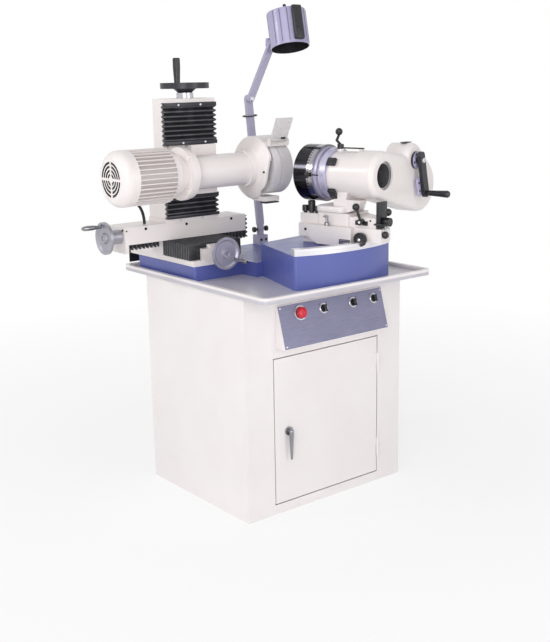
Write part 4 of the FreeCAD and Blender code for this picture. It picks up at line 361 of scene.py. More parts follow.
finishOf = {
    creamSheet: "cabinet_shell cabinet_door control_box door_hinges",
    trayFinish: "worktop_tray",
    creamCasting: "cross_bed saddle long_table table_end_plate column head_slide spindle_housing "
                  "wheel_guard swing_base feed_slide workhead_housing gear_cover",
    finnedFinish: "motor_body",
    cowlFinish: "fan_cowl",
    blueCasting: "base_casting",
    arcSteel: "scale_arc",
    shaftSteel: "cross_leadscrew long_leadscrew lift_leadscrew spindle_shaft wheel_nut work_spindle "
                "idler_gear motor_rotor",
    armPaint: "lamp_bracket lamp_lower_arm lamp_upper_arm",
    shadeFinish: "lamp_head",
    chrome: "door_handle cross_grip long_grip lock_handle",
    crossWheel: "cross_handwheel",
    longWheel: "long_handwheel",
    ringMetal: "scale_ring",
    drumMetal: "index_drum",
    blackGrip: "lift_grip crank_grip cooling_fan",
    blackKnob: "feed_knob clamp_lever index_lever selector_knob_1 selector_knob_2 selector_knob_3",
    blackSteel: "lift_handwheel crank_arm",
    bellowsCloth: "cross_bellows way_bellows column_bellows",
    cableJacket: "motor_cable",
    whiteGrit: "grinding_wheel",
    paleGrit: "cup_wheel",
    redKnob: "stop_button",
    shieldFinish: "spark_shield",
}
for finish, names in finishOf.items():
    for name in names.split():
        mesh = nodes[name].data
        mesh.materials.clear()
        mesh.materials.append(finish.material)
print("nodes painted")


def deselectAll():
    if bpy.context.mode != "OBJECT":
        bpy.ops.object.mode_set(mode="OBJECT")
    bpy.ops.object.select_all(action="DESELECT")


def pickOnly(piece):
    deselectAll()
    piece.select_set(True)
    bpy.context.view_layer.objects.active = piece


def started(name):
    piece = bpy.context.object
    piece.name = name
    piece.data.name = name
    return piece


def settle(piece, place=None):
    pickOnly(piece)
    if place is not None:
        piece.matrix_world = place @ piece.matrix_world
    bpy.ops.object.transform_apply(location=True, rotation=True, scale=True)
    return piece


def withModifier(piece, kind, **settings):
    pickOnly(piece)
    modifier = piece.modifiers.new(kind.lower(), kind)
    for setting, value in settings.items():
        setattr(modifier, setting, value)
    bpy.ops.object.modifier_apply(modifier=modifier.name)
    return piece


def softened(piece, edge, steps=2, angle=35):
    return withModifier(piece, "BEVEL", width=edge, segments=steps, limit_method="ANGLE",
                        angle_limit=math.radians(angle))


def cleaned(piece):
    pickOnly(piece)
    bpy.ops.object.mode_set(mode="EDIT")
    bpy.ops.mesh.select_all(action="SELECT")
    bpy.ops.mesh.remove_doubles(threshold=0.00001)
    bpy.ops.mesh.normals_make_consistent(inside=False)
    bpy.ops.object.mode_set(mode="OBJECT")
    return piece


def boxed(name, low, high, edge=0.0, steps=2, place=None):
    low, high = Vector(low), Vector(high)
    deselectAll()
    bpy.ops.mesh.primitive_cube_add(size=1, location=(low + high) / 2)
    piece = started(name)
    piece.scale = high - low
    settle(piece)
    if edge:
        softened(piece, edge, steps)
    return settle(piece, place)


def pointed(origin, way):
    # a frame at origin whose Z runs the given way
    turn = Vector(up).rotation_difference(Vector(way).normalized())
    return Matrix.Translation(origin) @ turn.to_matrix().to_4x4()


def drawnUp(rings, sides, fill):
    # a circle drawn up ring by ring, as (level, radius)
    deselectAll()
    level, radius = rings[0]
    bpy.ops.mesh.primitive_circle_add(vertices=sides, radius=radius, fill_type=fill, location=(0, 0, level))
    piece = bpy.context.object
    settle(piece)
    bpy.ops.object.mode_set(mode="EDIT")
    bpy.ops.mesh.select_all(action="SELECT")
    for (last, lastRadius), (level, radius) in zip(rings, rings[1:]):
        bpy.ops.mesh.extrude_region_move(TRANSFORM_OT_translate={"value": (0, 0, level - last)})
        share = radius / lastRadius
        bpy.ops.transform.resize(value=(share, share, 1), center_override=(0, 0, level))
    return piece


def turned(name, rings, place=None, sides=32):
    # a closed turned piece with flat ends
    piece = drawnUp(rings, sides, "NGON")
    cleaned(started(name))
    return settle(piece, place)


def hooped(name, rings, place=None, sides=40):
    # a turned ring with a hole through it
    piece = drawnUp(rings + rings[:1], sides, "NOTHING")
    cleaned(started(name))
    return settle(piece, place)


def copied(piece, name, place):
    pickOnly(piece)
    bpy.ops.object.duplicate(linked=False)
    return settle(started(name), place)


def joined(name, pieces):
    pickOnly(pieces[0])
    for piece in pieces:
        piece.select_set(True)
    bpy.ops.object.join()
    return started(name)


def without(piece, *cutters):
    for cutter in cutters:
        withModifier(piece, "BOOLEAN", operation="DIFFERENCE", object=cutter, solver="EXACT")
        bpy.data.objects.remove(cutter)
    return piece


def dress(piece, finish, smooth=35):
    pickOnly(piece)
    bpy.ops.object.shade_smooth_by_angle(angle=math.radians(smooth))
    piece.data.materials.clear()
    piece.data.materials.append(finish.material)
    return piece


def mount(piece, finish, body, smooth=35):
    dress(piece, finish, smooth)
    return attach(piece, body)


# camera at the photograph's place
cameraFit = {"azimuth": 38.30, "elevation": 13.53, "roll": -1.04, "distance": 3.289,
             "target": (0.005, 0.0, 0.522), "lens": 57.2}


def makeCamera():
    turn, rise, roll = (math.radians(cameraFit[key]) for key in ("azimuth", "elevation", "roll"))
    look = Vector((math.cos(rise) * math.sin(turn), math.cos(rise) * math.cos(turn), -math.sin(rise)))
    right = look.cross(Vector(up)).normalized()
    top = right.cross(look)
    rolledRight = right * math.cos(roll) + top * math.sin(roll)
    rolledTop = top * math.cos(roll) - right * math.sin(roll)
    data = bpy.data.cameras.new("camera")
    data.lens = cameraFit["lens"]
    data.sensor_width = 36
    camera = bpy.data.objects.new("camera", data)
    bpy.context.scene.collection.objects.link(camera)
    turnMatrix = Matrix((rolledRight, rolledTop, -look)).transposed().to_4x4()
    spot = Vector(cameraFit["target"]) - look * cameraFit["distance"]
    camera.matrix_world = Matrix.Translation(spot) @ turnMatrix
    bpy.context.scene.camera = camera


makeCamera()
print("camera set")

# motor cable: out of the gland, down to the table top
cable = {"radius": 0.0045, "length": 0.150,
         "route": [at(-418, 130.5, 964.8), at(-418, 164.4, 943.6), at(-357, 179, 902), at(-357, 179, 856)]}


def makeCable():
    data = bpy.data.curves.new("motorCable", "CURVE")
    data.dimensions = "3D"
    spline = data.splines.new("NURBS")
    spline.points.add(len(cable["route"]) - 1)
    for point, spot in zip(spline.points, cable["route"]):
        point.co = (*spot, 1)
    spline.order_u = 3
    spline.use_endpoint_u = True
    spline.resolution_u = 24
    piece = bpy.data.objects.new("motorCable", data)
    bpy.context.scene.collection.objects.link(piece)
    line = bpy.data.meshes.new_from_object(piece.evaluated_get(bpy.context.evaluated_depsgraph_get()))
    bpy.data.meshes.remove(line)
    data.bevel_depth = cable["radius"]
    data.bevel_resolution = 5
    data.use_fill_caps = True
    pickOnly(piece)
    bpy.ops.object.convert(target="MESH")
    piece = started("motorCable")
    dress(piece, cableJacket, 60)
    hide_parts("motor_cable")
    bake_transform(piece)


makeCable()
print("cable laid")

# bellows: black coated cloth folded into pleats, each run between two bodies
bellows = {
    "fold": 0.007,
    "pitch": 0.0135,
    "runs": [
        {"name": "crossBellowsFront", "node": "cross_bellows", "axis": "y", "span": (25.3, 169.7),
         "first": (-300, -106), "second": (752.3, 802.7), "bodies": ("stand", "saddle"),
         "room": ((-259, 20, 740), (-147, 175, 787))},
        {"name": "crossBellowsRear", "node": "cross_bellows", "axis": "y", "span": (322.3, 379.7),
         "first": (-300, -106), "second": (752.3, 802.7), "bodies": ("saddle", "stand"),
         "room": ((-259, 317, 740), (-147, 385, 787))},
        {"name": "wayBellowsLeft", "node": "way_bellows", "axis": "x", "span": (-437.7, -300.3),
         "first": (190, 236), "second": (777, 802.7), "bodies": ("table", "saddle"),
         "room": ((-445, 200, 770), (-295, 226, 792.7))},
        {"name": "wayBellowsRight", "node": "way_bellows", "axis": "x", "span": (-105.7, -0.3),
         "first": (144, 236), "second": (777, 802.7), "bodies": ("saddle", "table"),
         "room": ((-110, 154, 770), (5, 226, 792.7))},
        {"name": "columnBellowsLower", "node": "column_bellows", "axis": "z", "span": (868.3, 939.7),
         "first": (-304, -114), "second": (124.7, 142.7), "bodies": ("table", "head"),
         "room": ((-264, 134.7, 860), (-154, 150, 945))},
        {"name": "columnBellowsUpper", "node": "column_bellows", "axis": "z", "span": (1090.3, 1216.7),
         "first": (-304, -114), "second": (124.7, 142.7), "bodies": ("head", "table"),
         "room": ((-264, 134.7, 1085), (-154, 150, 1225))},
    ],
}
axisFrames = {
    "x": Matrix(((0, 0, 1, 0), (1, 0, 0, 0), (0, 1, 0, 0), (0, 0, 0, 1))),
    "y": Matrix(((1, 0, 0, 0), (0, 0, 1, 0), (0, 1, 0, 0), (0, 0, 0, 1))),
    "z": Matrix.Identity(4),
}


def runEnds(run):
    middle = [sum(run[side]) / 2 for side in ("first", "second")]
    return [axisFrames[run["axis"]] @ at(*middle, level) for level in run["span"]]


def pleatedBox(run, fold):
    # a box drawn up fold by fold, each with a flat edge, then turned to lie along its axis
    start, end = (value / 1000 for value in run["span"])
    wide = (run["first"][1] - run["first"][0]) / 1000
    tall = (run["second"][1] - run["second"][0]) / 1000
    middle = Vector((sum(run["first"]) / 2000, sum(run["second"]) / 2000, 0))
    folds = max(2, round((end - start) / bellows["pitch"]))
    step = (end - start) / folds
    deselectAll()
    bpy.ops.mesh.primitive_plane_add(size=1, location=middle + Vector((0, 0, start)))
    piece = started(run["name"])
    piece.scale = (wide, tall, 1)
    settle(piece)
    bpy.ops.object.mode_set(mode="EDIT")
    bpy.ops.mesh.select_all(action="SELECT")
    narrow = ((wide - 2 * fold) / wide, (tall - 2 * fold) / tall)
    level = start
    for _ in range(folds):
        for part, share in ((0.24, (1, 1)), (0.38, narrow), (0.38, tuple(1 / value for value in narrow))):
            level += step * part
            bpy.ops.mesh.extrude_region_move(TRANSFORM_OT_translate={"value": (0, 0, step * part)})
            bpy.ops.transform.resize(value=(*share, 1), center_override=middle + Vector((0, 0, level)))
    cleaned(piece)
    piece.matrix_world = axisFrames[run["axis"]]
    settle(piece)
    return cleaned(piece)


def ridgeHighlightEdges(piece, run):
    # the flat outer edge of each fold takes the paler cloth, a painted highlight along the ridges
    piece.data.materials.append(ridgeHighlightCloth.material)
    turn = axisFrames[run["axis"]].inverted()
    for face in piece.data.polygons:
        spot = turn @ face.center * 1000
        depth = min(abs(spot[number] - edge)
                    for number, side in enumerate(("first", "second")) for edge in run[side])
        face.material_index = 1 if depth < 0.9 else 0


def foldedRun(run):
    piece = pleatedBox(run, bellows["fold"])
    without(piece, boxed("bellowsRoom", *(at(*corner) for corner in run["room"])))
    softened(piece, 0.0006, 2, 50)
    dress(piece, bellowsCloth, 25)
    ridgeHighlightEdges(piece, run)
    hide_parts(run["node"])
    start, end = runEnds(run)
    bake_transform(piece)


for run in bellows["runs"]:
    foldedRun(run)
print("bellows folded")

# screws: modelled once, then copied with their own mesh
screw = {"radius": 0.0042, "high": 0.0026, "hexRadius": 0.0023, "hexDeep": 0.0016}
hexHead = {"radius": 0.0075, "high": 0.005}


def socketScrew():
    radius, high = screw["radius"], screw["high"]
    head = turned("socketScrew", [(-0.001, radius), (high * 0.8, radius), (high, radius * 0.86)], None, 24)
    deep, key = screw["hexDeep"], screw["hexRadius"]
    return without(head, turned("hexKey", [(high - deep, key), (high + deep, key)], None, 6))


def hexBolt():
    radius, high = hexHead["radius"], hexHead["high"]
    return turned("hexBolt", [(-0.001, radius), (high * 0.8, radius), (high, radius * 0.84)], None, 6)


down, left, forward = (0, 0, -1), (-1, 0, 0), (0, -1, 0)
screwSpots = [
    ("tableScrew1", at(-377, 140, 847), forward, 1.0, "table"),
    ("tableScrew2", at(-229, 140, 847), forward, 1.0, "table"),
    ("tableScrew3", at(-57, 140, 847), forward, 1.0, "table"),
    ("endPlateScrew1", at(-444, 140, 846), forward, 0.6, "table"),
    ("endPlateScrew2", at(-450, 152, 848), left, 0.9, "table"),
    ("endPlateScrew3", at(-450, 228, 848), left, 0.9, "table"),
    ("guardScrew", at(-44.4, -21.1, 1003.6), (-0.947, -0.318, -0.035), 0.85, "head"),
    ("lampFootScrew1", at(112, 202, 752), forward, 1.0, "stand"),
    ("lampFootScrew2", at(132, 202, 752), forward, 1.0, "stand"),
    ("slideScrew", swing @ at(-50, -488, 872), -workSide, 0.7, "feed"),
    ("baseScrew", swing @ at(-60, -256, 832), -workSide, 1.0, "swing"),
]
paleSpots = [
    ("coverScrew1", at(-254, 122.2, 1210), forward, 0.8, "table"),
    ("coverScrew2", at(-174, 122.2, 1210), forward, 0.8, "table"),
    ("coverScrew3", at(-241, 122.2, 1097), forward, 0.8, "head"),
    ("coverScrew4", at(-160, 122.2, 1097), forward, 0.8, "head"),
    ("coverScrew5", at(-256, 132, 862), forward, 0.7, "table"),
    ("coverScrew6", at(-173, 132, 862), forward, 0.7, "table"),
    ("oilCap", at(-262, 33, 752), up, 1.0, "stand"),
]


def fitScrews():
    first = socketScrew()
    kinds = (screwSpots, blackKnob, "black_metal"), (paleSpots, groundSteel, "bare_steel")
    for spots, finish, slot in kinds:
        for name, spot, way, share, body in spots:
            mount(copied(first, name, pointed(spot, way) @ Matrix.Scale(share, 4)), finish, body)
    bpy.data.objects.remove(first)
    bolt = hexBolt()
    for number in range(4):
        turn = math.radians(45 + 90 * number)
        spot = at(-305, 55 + 69 * math.cos(turn), 1012 + 69 * math.sin(turn))
        piece = copied(bolt, "flangeBolt%d" % (number + 1), pointed(spot, left))
        mount(piece, creamCasting, "head")
    bpy.data.objects.remove(bolt)


fitScrews()
print("screws fitted")

# flat strips that clamp the ends of the column bellows
strip = {"x": (-304, -114), "y": (122.2, 124.3),
         "ends": [(1204.5, 1216.5, "table"), (1090.5, 1102.5, "head"), (928.5, 939.5, "head"),
                  (868.5, 878.5, "table")]}


def clampStrips():
    for number, (low, high, body) in enumerate(strip["ends"], 1):
        corners = [at(strip["x"][side], strip["y"][side], level) for side, level in ((0, low), (1, high))]
        mount(boxed("bellowsStrip%d" % number, *corners, 0.0005), blackSteel, body)


clampStrips()

# a short folded curtain at the right end of the table and a flap behind the cross slide
curtain = {"name": "endCurtain", "axis": "z", "span": (780, 850), "first": (0.4, 12), "second": (146, 234)}
flap = {"low": (-298, 380.4, 704), "high": (-236, 383, 762)}


def hangCurtain():
    piece = pleatedBox(curtain, 0.0045)
    softened(piece, 0.0005, 1, 50)
    mount(piece, bellowsCloth, "table", 25)
    ridgeHighlightEdges(piece, curtain)
    sheet = boxed("rearFlap", at(*flap["low"]), at(*flap["high"]), 0.0006)
    mount(sheet, bellowsCloth, "stand")


hangCurtain()
print("bellows ends dressed")

# control plate: a bare lilac-silver sheet with rings round the controls
panel = {"wide": 206, "low": 2, "high": 129, "thick": 0.8, "row": 99.84, "stop": -128,
         "selectors": (-37, 82, 168), "stopRing": (18.5, 22.5), "selectorRing": (12, 16), "stem": 6.4}


def controlRing(name, x, radii, high):
    inner, outer = (value / 1000 for value in radii)
    base = panel["thick"] / 1000
    rings = [(base, inner), (base + high, inner), (base + high, outer - 0.0012), (base + high * 0.6, outer),
             (base, outer)]
    return hooped(name, rings, plateFrame @ Matrix.Translation(at(x, panel["row"], 0)))


def controlPlate():
    wide, row = panel["wide"], panel["row"]
    corners = at(-wide, panel["low"], 0), at(wide, panel["high"], panel["thick"])
    sheet = boxed("controlPlate", *corners, 0.0002, 1)
    for x in (panel["stop"], *panel["selectors"]):
        hole = turned("stemHole", [(-0.005, panel["stem"] / 1000), (0.005, panel["stem"] / 1000)],
                      Matrix.Translation(at(x, row, 0)), 32)
        without(sheet, hole)
    mount(settle(sheet, plateFrame), plateMetal, "stand")
    ring = controlRing("stopRing", panel["stop"], panel["stopRing"], 0.004)
    mount(ring, groundSteel, "stand")
    for number, x in enumerate(panel["selectors"], 1):
        ring = controlRing("selectorRing%d" % number, x, panel["selectorRing"], 0.0028)
        mount(ring, groundSteel, "stand")
        for side in (-1, 1):
            name = "selectorMark%d%s" % (number, "left" if side < 0 else "right")
            mark = boxed(name, at(-0.7, 18, 0.8), at(0.7, 23, 1.0))
            turn = Matrix.Translation(at(x, row, 0)) @ Matrix.Rotation(math.radians(45 * side), 4, "Z")
            mount(settle(mark, plateFrame @ turn), blackKnob, "stand")
    first = socketScrew()
    for number, (x, y) in enumerate(((-199, 9), (199, 9), (-199, 122), (199, 122)), 1):
        place = plateFrame @ Matrix.Translation(at(x, y, panel["thick"])) @ Matrix.Scale(0.75, 4)
        mount(copied(first, "plateScrew%d" % number, place), groundSteel, "stand")
    bpy.data.objects.remove(first)


controlPlate()
print("control plate fitted")

# a dark disc as painted shade behind the fan cowl's grille, shield clip and the bar under the rest
cowlShadeDisc = {"radius": 0.055, "from": -532.7, "thick": 0.0005}
clip = {"low": (29, -4.2, 5), "high": (46, -1.6, 10.5)}
restBar = {"low": (-22, 2, 902.5), "high": (32, 30, 907)}


def headTrims():
    # painted shade: a near-black disc just inside the cowl's end, behind the grille
    disc = turned("fanShadeDisc", [(0, cowlShadeDisc["radius"]), (cowlShadeDisc["thick"], cowlShadeDisc["radius"])],
                  pointed(at(cowlShadeDisc["from"], 55, 1012), across), 48)
    mount(disc, shadeDiscDark, "head")
    lean = Matrix.Translation(at(0, -11, 1097.26)) @ Matrix.Rotation(math.radians(26), 4, "X")
    block = boxed("shieldClip", at(*clip["low"]), at(*clip["high"]), 0.0009, 2, lean)
    mount(block, blackKnob, "shield")
    bar = boxed("restBar", at(*restBar["low"]), at(*restBar["high"]), 0.001)
    mount(bar, blackSteel, "head")


headTrims()
print("grinding head trimmed")

# work head: plunger, clamps, stops, post, hand knob, index plate and crank dial
plunger = {"at": (-86.8, -290, 1001), "rodEnd": -326,
           "rings": [(0, 3), (4, 3), (5, 7), (9, 8.5), (13, 7.5), (15, 3)]}
ringClamps = [("ringClampTop", 33, (-372, -342), (-12, 12), 10),
              ("ringClampLow", -42, (-366, -342), (-12, 10), 12),
              ("ringClampFoot", -58, (-366, -343), (-9, 11), 16)]
collar = {"from": -320.4, "wide": 21, "inner": 68.7, "outer": 77.5}
pointer = {"low": (-4, -430, 1075), "high": (4, -344, 1079), "pads": (-352, -421)}
stopScrews = [(-40, -241, 10, 903), (-38, -264, 11.5, 918), (-38, -281.5, 6.5, 902)]
post = {"low": (-50, -519, 851), "high": (-8, -507.3, 928), "knob": (-25, 869), "knobRoom": 11}
handKnob = {"at": (-60, -467, 818),
            "rings": [(0, 8), (5, 8), (6, 18), (9, 21), (17, 21), (20, 18.5), (19, 14), (19, 3)]}
crankDial = {"centre": (167, 1034), "face": -512.4, "radius": 25.6, "hub": 11}


def inHead(place):
    return swing @ place


def knobbed(name, spot, way, rings, sides=36):
    metres = [(level / 1000, radius / 1000) for level, radius in rings]
    return turned(name, metres, inHead(pointed(at(*spot), way)), sides)


def balled(name, spot, radius):
    deselectAll()
    bpy.ops.mesh.primitive_uv_sphere_add(segments=28, ring_count=18, radius=radius / 1000,
                                         location=inHead(at(*spot)))
    return settle(started(name))


def workTrims():
    knob = knobbed("indexPlunger", plunger["at"], left, plunger["rings"])
    x, y, z = plunger["at"]
    rings = [(0, 1.9), (-plunger["rodEnd"] + y, 1.9)]
    rod = knobbed("indexPlungerRod", (x - 2.2, y, z), forward, rings, 16)
    mount(joined("indexPlunger", [knob, rod]), blackKnob, "feed")
    for name, angle, (near, far), (low, high), tall in ringClamps:
        place = swing @ Matrix.Translation(at(0, 0, 1000)) @ Matrix.Rotation(math.radians(angle), 4, "Y")
        piece = boxed(name, at(-69 - tall, near, low), at(-68.6, far, high), 0.0025, 3, place)
        mount(piece, blackKnob, "feed")
    for number, (x, y, radius, top) in enumerate(stopScrews, 1):
        stem = radius * 0.6
        rings = [(0, stem), (4, stem), (5, radius), (top - 883, radius), (top - 880, radius * 0.82)]
        piece = knobbed("stopScrew%d" % number, (x, y, 880.1), up, rings, 20)
        mount(piece, blackKnob, "feed", 25)
    inner, outer, wide = (collar[key] / 1000 for key in ("inner", "outer", "wide"))
    rings = [(0, inner), (0, outer - 0.001), (0.001, outer), (wide - 0.001, outer), (wide, outer - 0.001),
             (wide, inner)]
    band = hooped("scaleCollar", rings, inHead(pointed(at(0, collar["from"], 1000), forward)), 96)
    mount(band, ringMetal, "feed")
    needle = boxed("barrelPointer", at(*pointer["low"]), at(*pointer["high"]), 0.0008, 2, swing)
    mount(needle, blackSteel, "feed")
    for number, y in enumerate(pointer["pads"], 1):
        corners = at(-3.5, y - 6, 1067.9), at(3.5, y + 6, 1075.2)
        pad = boxed("pointerPad%d" % number, *corners, 0.0006, 1, swing)
        mount(pad, creamCasting, "feed")
    catch = boxed("coverClip", at(148, -480, 1085.1), at(186, -462, 1088), 0.0008, 2, swing)
    mount(catch, blackSteel, "feed")
    # painted shade: a thin black strip on the slide's face stands for the dark of its slot
    slot = boxed("slideSlotShade", at(-52.5, -479, 857), at(-49.8, -435, 870), 0.0006, 2)
    hub = pointed(at(0, -460, 868), across)
    without(slot, turned("hubRoom", [(-0.08, 0.0098), (-0.03, 0.0098)], hub, 24))
    mount(settle(slot, swing), blackKnob, "feed")


def postTrims():
    column = boxed("endPost", at(*post["low"]), at(*post["high"]), 0.0016, 3)
    room = post["knobRoom"] / 1000
    without(column, turned("knobRoom", [(-0.03, room), (0.03, room)],
                           pointed(at(post["knob"][0], -513, post["knob"][1]), forward), 28))
    mount(settle(column, swing), blackGrip, "feed")
    stem = knobbed("postStem", (-9, -513, 893), across, [(0, 3), (10, 3)], 14)
    ball = joined("postBall", [balled("postBall", (5, -513, 893), 11.5), stem])
    mount(ball, blackKnob, "feed", 60)
    arm = boxed("lowArm", at(-64, -551, 862), at(-52, -508, 867), 0.0012, 2, swing)
    mount(arm, blackGrip, "feed")
    stem = knobbed("lowStem", (-58, -545, 863), down, [(0, 2.4), (18, 2.4)], 14)
    mount(stem, chrome, "feed")
    mount(balled("lowBall", (-58, -545, 836), 11), blackKnob, "feed", 60)
    knob = knobbed("handKnob", handKnob["at"], left, handKnob["rings"])
    mount(knob, blackKnob, "swing")
    cap = knobbed("handKnobCap", (-79.1, -467, 818), left, [(0, 5), (1.5, 5), (3, 3)], 20)
    mount(cap, groundSteel, "swing")
    plate = boxed("indexPlate", at(-81.4, -436, 796), at(-79.9, -396, 815), 0.0004, 1, swing)
    mount(plate, blackSteel, "swing")
    for number, level in enumerate((800, 806, 811), 1):
        corners = at(-81.8, -434, level), at(-81.3, -398, level + 1.6)
        bar = boxed("indexLine%d" % number, *corners, 0, 1, swing)
        mount(bar, armPaint, "swing")


def crankTrims():
    x, z = crankDial["centre"]
    radius, hub = crankDial["radius"] / 1000, crankDial["hub"] / 1000
    rings = [(0, hub), (0.001, hub), (0.001, radius - 0.0008), (0.0006, radius), (0, radius)]
    face = hooped("crankDial", rings, inHead(pointed(at(x, crankDial["face"], z), forward)))
    mount(face, lilacPaint, "crank")
    # painted shade: thin black discs on the dial face stand for its holes
    for number in range(4):
        turn = math.radians(20 + 90 * number)
        spot = (x + 18 * math.cos(turn), crankDial["face"] - 0.9, z + 18 * math.sin(turn))
        hole = knobbed("dialHoleShade%d" % (number + 1), spot, forward, [(0, 4), (0.5, 3.7)], 20)
        mount(hole, blackKnob, "crank")
    arm = Matrix.Translation(at(x, 0, z)) @ Matrix.Rotation(math.radians(-14), 4, "Y")
    plate = boxed("crankPlate", at(-27, -520.6, -108), at(4, -515, -52), 0.002, 3, swing @ arm)
    mount(plate, lilacPaint, "crank")
    # painted shade: thin black discs on the plate stand for its holes
    for number, level in enumerate((-66, -92), 1):
        spot = arm @ at(-19, -521, level)
        place = inHead(pointed(spot, forward))
        hole = turned("plateHoleShade%d" % number, [(0, 0.0035), (0.0005, 0.0032)], place, 20)
        mount(hole, blackKnob, "crank")
    boss = knobbed("crankCap", (x, -533.4, z), forward, [(0, 9), (3, 9), (4.5, 7)], 6)
    mount(boss, groundSteel, "crank")


workTrims()
postTrims()
crankTrims()
print("work head trimmed")

# lamp: ribs painted dark as painted shadow lines, switch box and nub on the shade, clips on the arms
ribs = {"turns": (-172, -150, -128, -66, -44, -18, 10, 36, 126, 152), "radius": 63, "wide": 1.4,
        "proud": 1.1, "low": 8, "high": 112}
switchBox = {"turn": -101, "low": (61.5, -17, 7), "high": (76, 17, 116.5)}


def lampTrims():
    first = boxed("shadeRib", at(ribs["radius"] - 0.6, -ribs["wide"], ribs["low"]),
                  at(ribs["radius"] + ribs["proud"], ribs["wide"], ribs["high"]), 0.0006)
    # painted shadow lines: each rib takes the dark rib paint
    for number, turn in enumerate(ribs["turns"], 1):
        place = shade @ Matrix.Rotation(math.radians(turn), 4, "Z")
        mount(copied(first, "shadeRib%d" % number, place), ribShadowPaint, "lamp_head")
    bpy.data.objects.remove(first)
    turn = Matrix.Rotation(math.radians(switchBox["turn"]), 4, "Z")
    body = boxed("lampSwitchBox", at(*switchBox["low"]), at(*switchBox["high"]), 0.005, 3, shade @ turn)
    mount(body, blackGrip, "lamp_head")
    place = shade @ Matrix.Translation(at(-32, -34, 0))
    nub = turned("lampNub", [(0.1148, 0.006), (0.124, 0.0055), (0.127, 0.004)], place, 20)
    mount(nub, blackKnob, "lamp_head")
    deselectAll()
    bpy.ops.mesh.primitive_torus_add(major_radius=0.023, minor_radius=0.0022, major_segments=40,
                                     minor_segments=10, location=at(89, 220, 1164),
                                     rotation=(0, math.radians(-5), 0))
    mount(settle(started("armClip")), blackSteel, "lamp_lower", 60)
    place = pointed(at(84, 201.6, 1219), forward)
    elbow = turned("elbowBolt", [(0, 0.009), (0.004, 0.009), (0.006, 0.007)], place, 6)
    mount(elbow, groundSteel, "lamp_upper")
    rings = [(0, 0.004), (0.008, 0.004), (0.009, 0.009), (0.016, 0.0095), (0.018, 0.007)]
    grips = []
    for number, side in ((1, -1), (2, 1)):
        place = pointed(at(122 + side * 12.2, 220, 786), (side, 0, 0))
        grips.append(turned("footKnob%d" % number, rings, place, 24))
    mount(joined("footKnobs", grips), blackKnob, "lamp_lower")


lampTrims()
print("lamp trimmed")

# lights and a pale floor
studio = {"floor": 14.0, "glowNear": (0.7, 0.74), "glowFar": (2.8, 1.0), "worldLevel": 0.64}
lamps = [
    ("keyPanel", (-3.0, -2.0, 2.7), (0, 0, 0.8), 2.4, 35),
    ("fillPanel", (0.9, -3.6, 1.5), (0, 0, 0.8), 2.0, 27),
    ("lowPanel", (-2.6, -2.7, 0.95), (0, 0, 0.8), 1.6, 26),
    ("sidePanel", (-2.7, 1.2, 2.15), (0, 0, 1.0), 0.6, 14),
]


def straightRays(tree):
    # 1 for what the camera sees, directly or in gloss and glass
    path = tree.nodes.new("ShaderNodeLightPath")
    seen = path.outputs["Is Camera Ray"]
    for ray in ("Is Glossy Ray", "Is Transmission Ray"):
        either = tree.nodes.new("ShaderNodeMath")
        either.operation = "MAXIMUM"
        tree.links.new(seen, either.inputs[0])
        tree.links.new(path.outputs[ray], either.inputs[1])
        seen = either.outputs[0]
    return seen


def skyShader():
    world = bpy.data.worlds.new("studio")
    world.use_nodes = True
    bpy.context.scene.world = world
    tree = world.node_tree
    back = tree.nodes["Background"]
    seen = straightRays(tree)
    place = tree.nodes.new("ShaderNodeTexCoord")
    split = tree.nodes.new("ShaderNodeSeparateXYZ")
    tree.links.new(place.outputs["Generated"], split.inputs[0])
    tone = tree.nodes.new("ShaderNodeMapRange")
    for socket, value in (("From Min", -0.9), ("From Max", 0.9), ("To Min", 1.0), ("To Max", 0.55)):
        tone.inputs[socket].default_value = value
    tree.links.new(split.outputs["X"], tone.inputs["Value"])
    soft = tree.nodes.new("ShaderNodeMath")
    soft.operation = "MULTIPLY"
    soft.inputs[1].default_value = studio["worldLevel"]
    tree.links.new(tone.outputs[0], soft.inputs[0])
    level = tree.nodes.new("ShaderNodeMix")
    level.inputs[3].default_value = 1.0
    tree.links.new(seen, level.inputs[0])
    tree.links.new(soft.outputs[0], level.inputs[2])
    tree.links.new(level.outputs[0], back.inputs["Strength"])
    back.inputs["Color"].default_value = (1, 1, 1, 1)


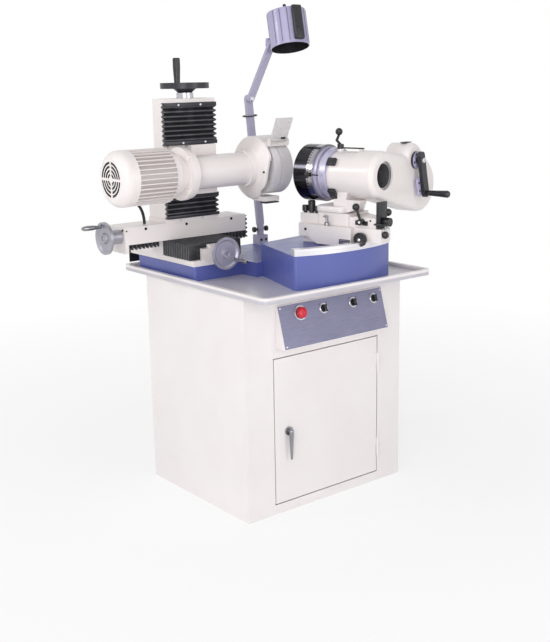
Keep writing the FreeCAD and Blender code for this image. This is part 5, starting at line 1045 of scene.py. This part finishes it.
def lampPanel(name, spot, target, wide, power):
    data = bpy.data.lights.new(name, "AREA")
    data.shape = "DISK"
    data.size = wide
    data.energy = power
    panel = bpy.data.objects.new(name, data)
    bpy.context.scene.collection.objects.link(panel)
    panel.location = spot
    panel.rotation_mode = "QUATERNION"
    panel.rotation_quaternion = (Vector(target) - Vector(spot)).to_track_quat("-Z", "Y")


def layFloor():
    deselectAll()
    bpy.ops.mesh.primitive_plane_add(size=studio["floor"], location=(0, 0, -0.0005))
    floor = settle(started("floor"))
    material = bpy.data.materials.new("floorPaper")
    material.use_nodes = True
    tree = material.node_tree
    shader = tree.nodes["Principled BSDF"]
    shader.inputs["Base Color"].default_value = (0.9, 0.9, 0.9, 1)
    shader.inputs["Roughness"].default_value = 0.9
    glow = tree.nodes.new("ShaderNodeEmission")
    glow.inputs["Strength"].default_value = 1.0
    share = tree.nodes.new("ShaderNodeMath")
    share.operation = "MULTIPLY"
    tree.links.new(straightRays(tree), share.inputs[0])
    # near the object the floor keeps its shadow, and further out it fades to white
    place = tree.nodes.new("ShaderNodeTexCoord")
    distance = tree.nodes.new("ShaderNodeVectorMath")
    distance.operation = "LENGTH"
    tree.links.new(place.outputs["Object"], distance.inputs[0])
    fade = tree.nodes.new("ShaderNodeMapRange")
    limits = [studio[end][part] for part in (0, 1) for end in ("glowNear", "glowFar")]
    for socket, value in zip(("From Min", "From Max", "To Min", "To Max"), limits):
        fade.inputs[socket].default_value = value
    tree.links.new(distance.outputs["Value"], fade.inputs["Value"])
    tree.links.new(fade.outputs[0], share.inputs[1])
    both = tree.nodes.new("ShaderNodeMixShader")
    tree.links.new(share.outputs[0], both.inputs[0])
    tree.links.new(shader.outputs[0], both.inputs[1])
    tree.links.new(glow.outputs[0], both.inputs[2])
    tree.links.new(both.outputs[0], tree.nodes["Material Output"].inputs["Surface"])
    floor.data.materials.append(material)


skyShader()
for lamp in lamps:
    lampPanel(*lamp)
layFloor()
bpy.context.scene.view_settings.view_transform = "Standard"
print("stage lit")
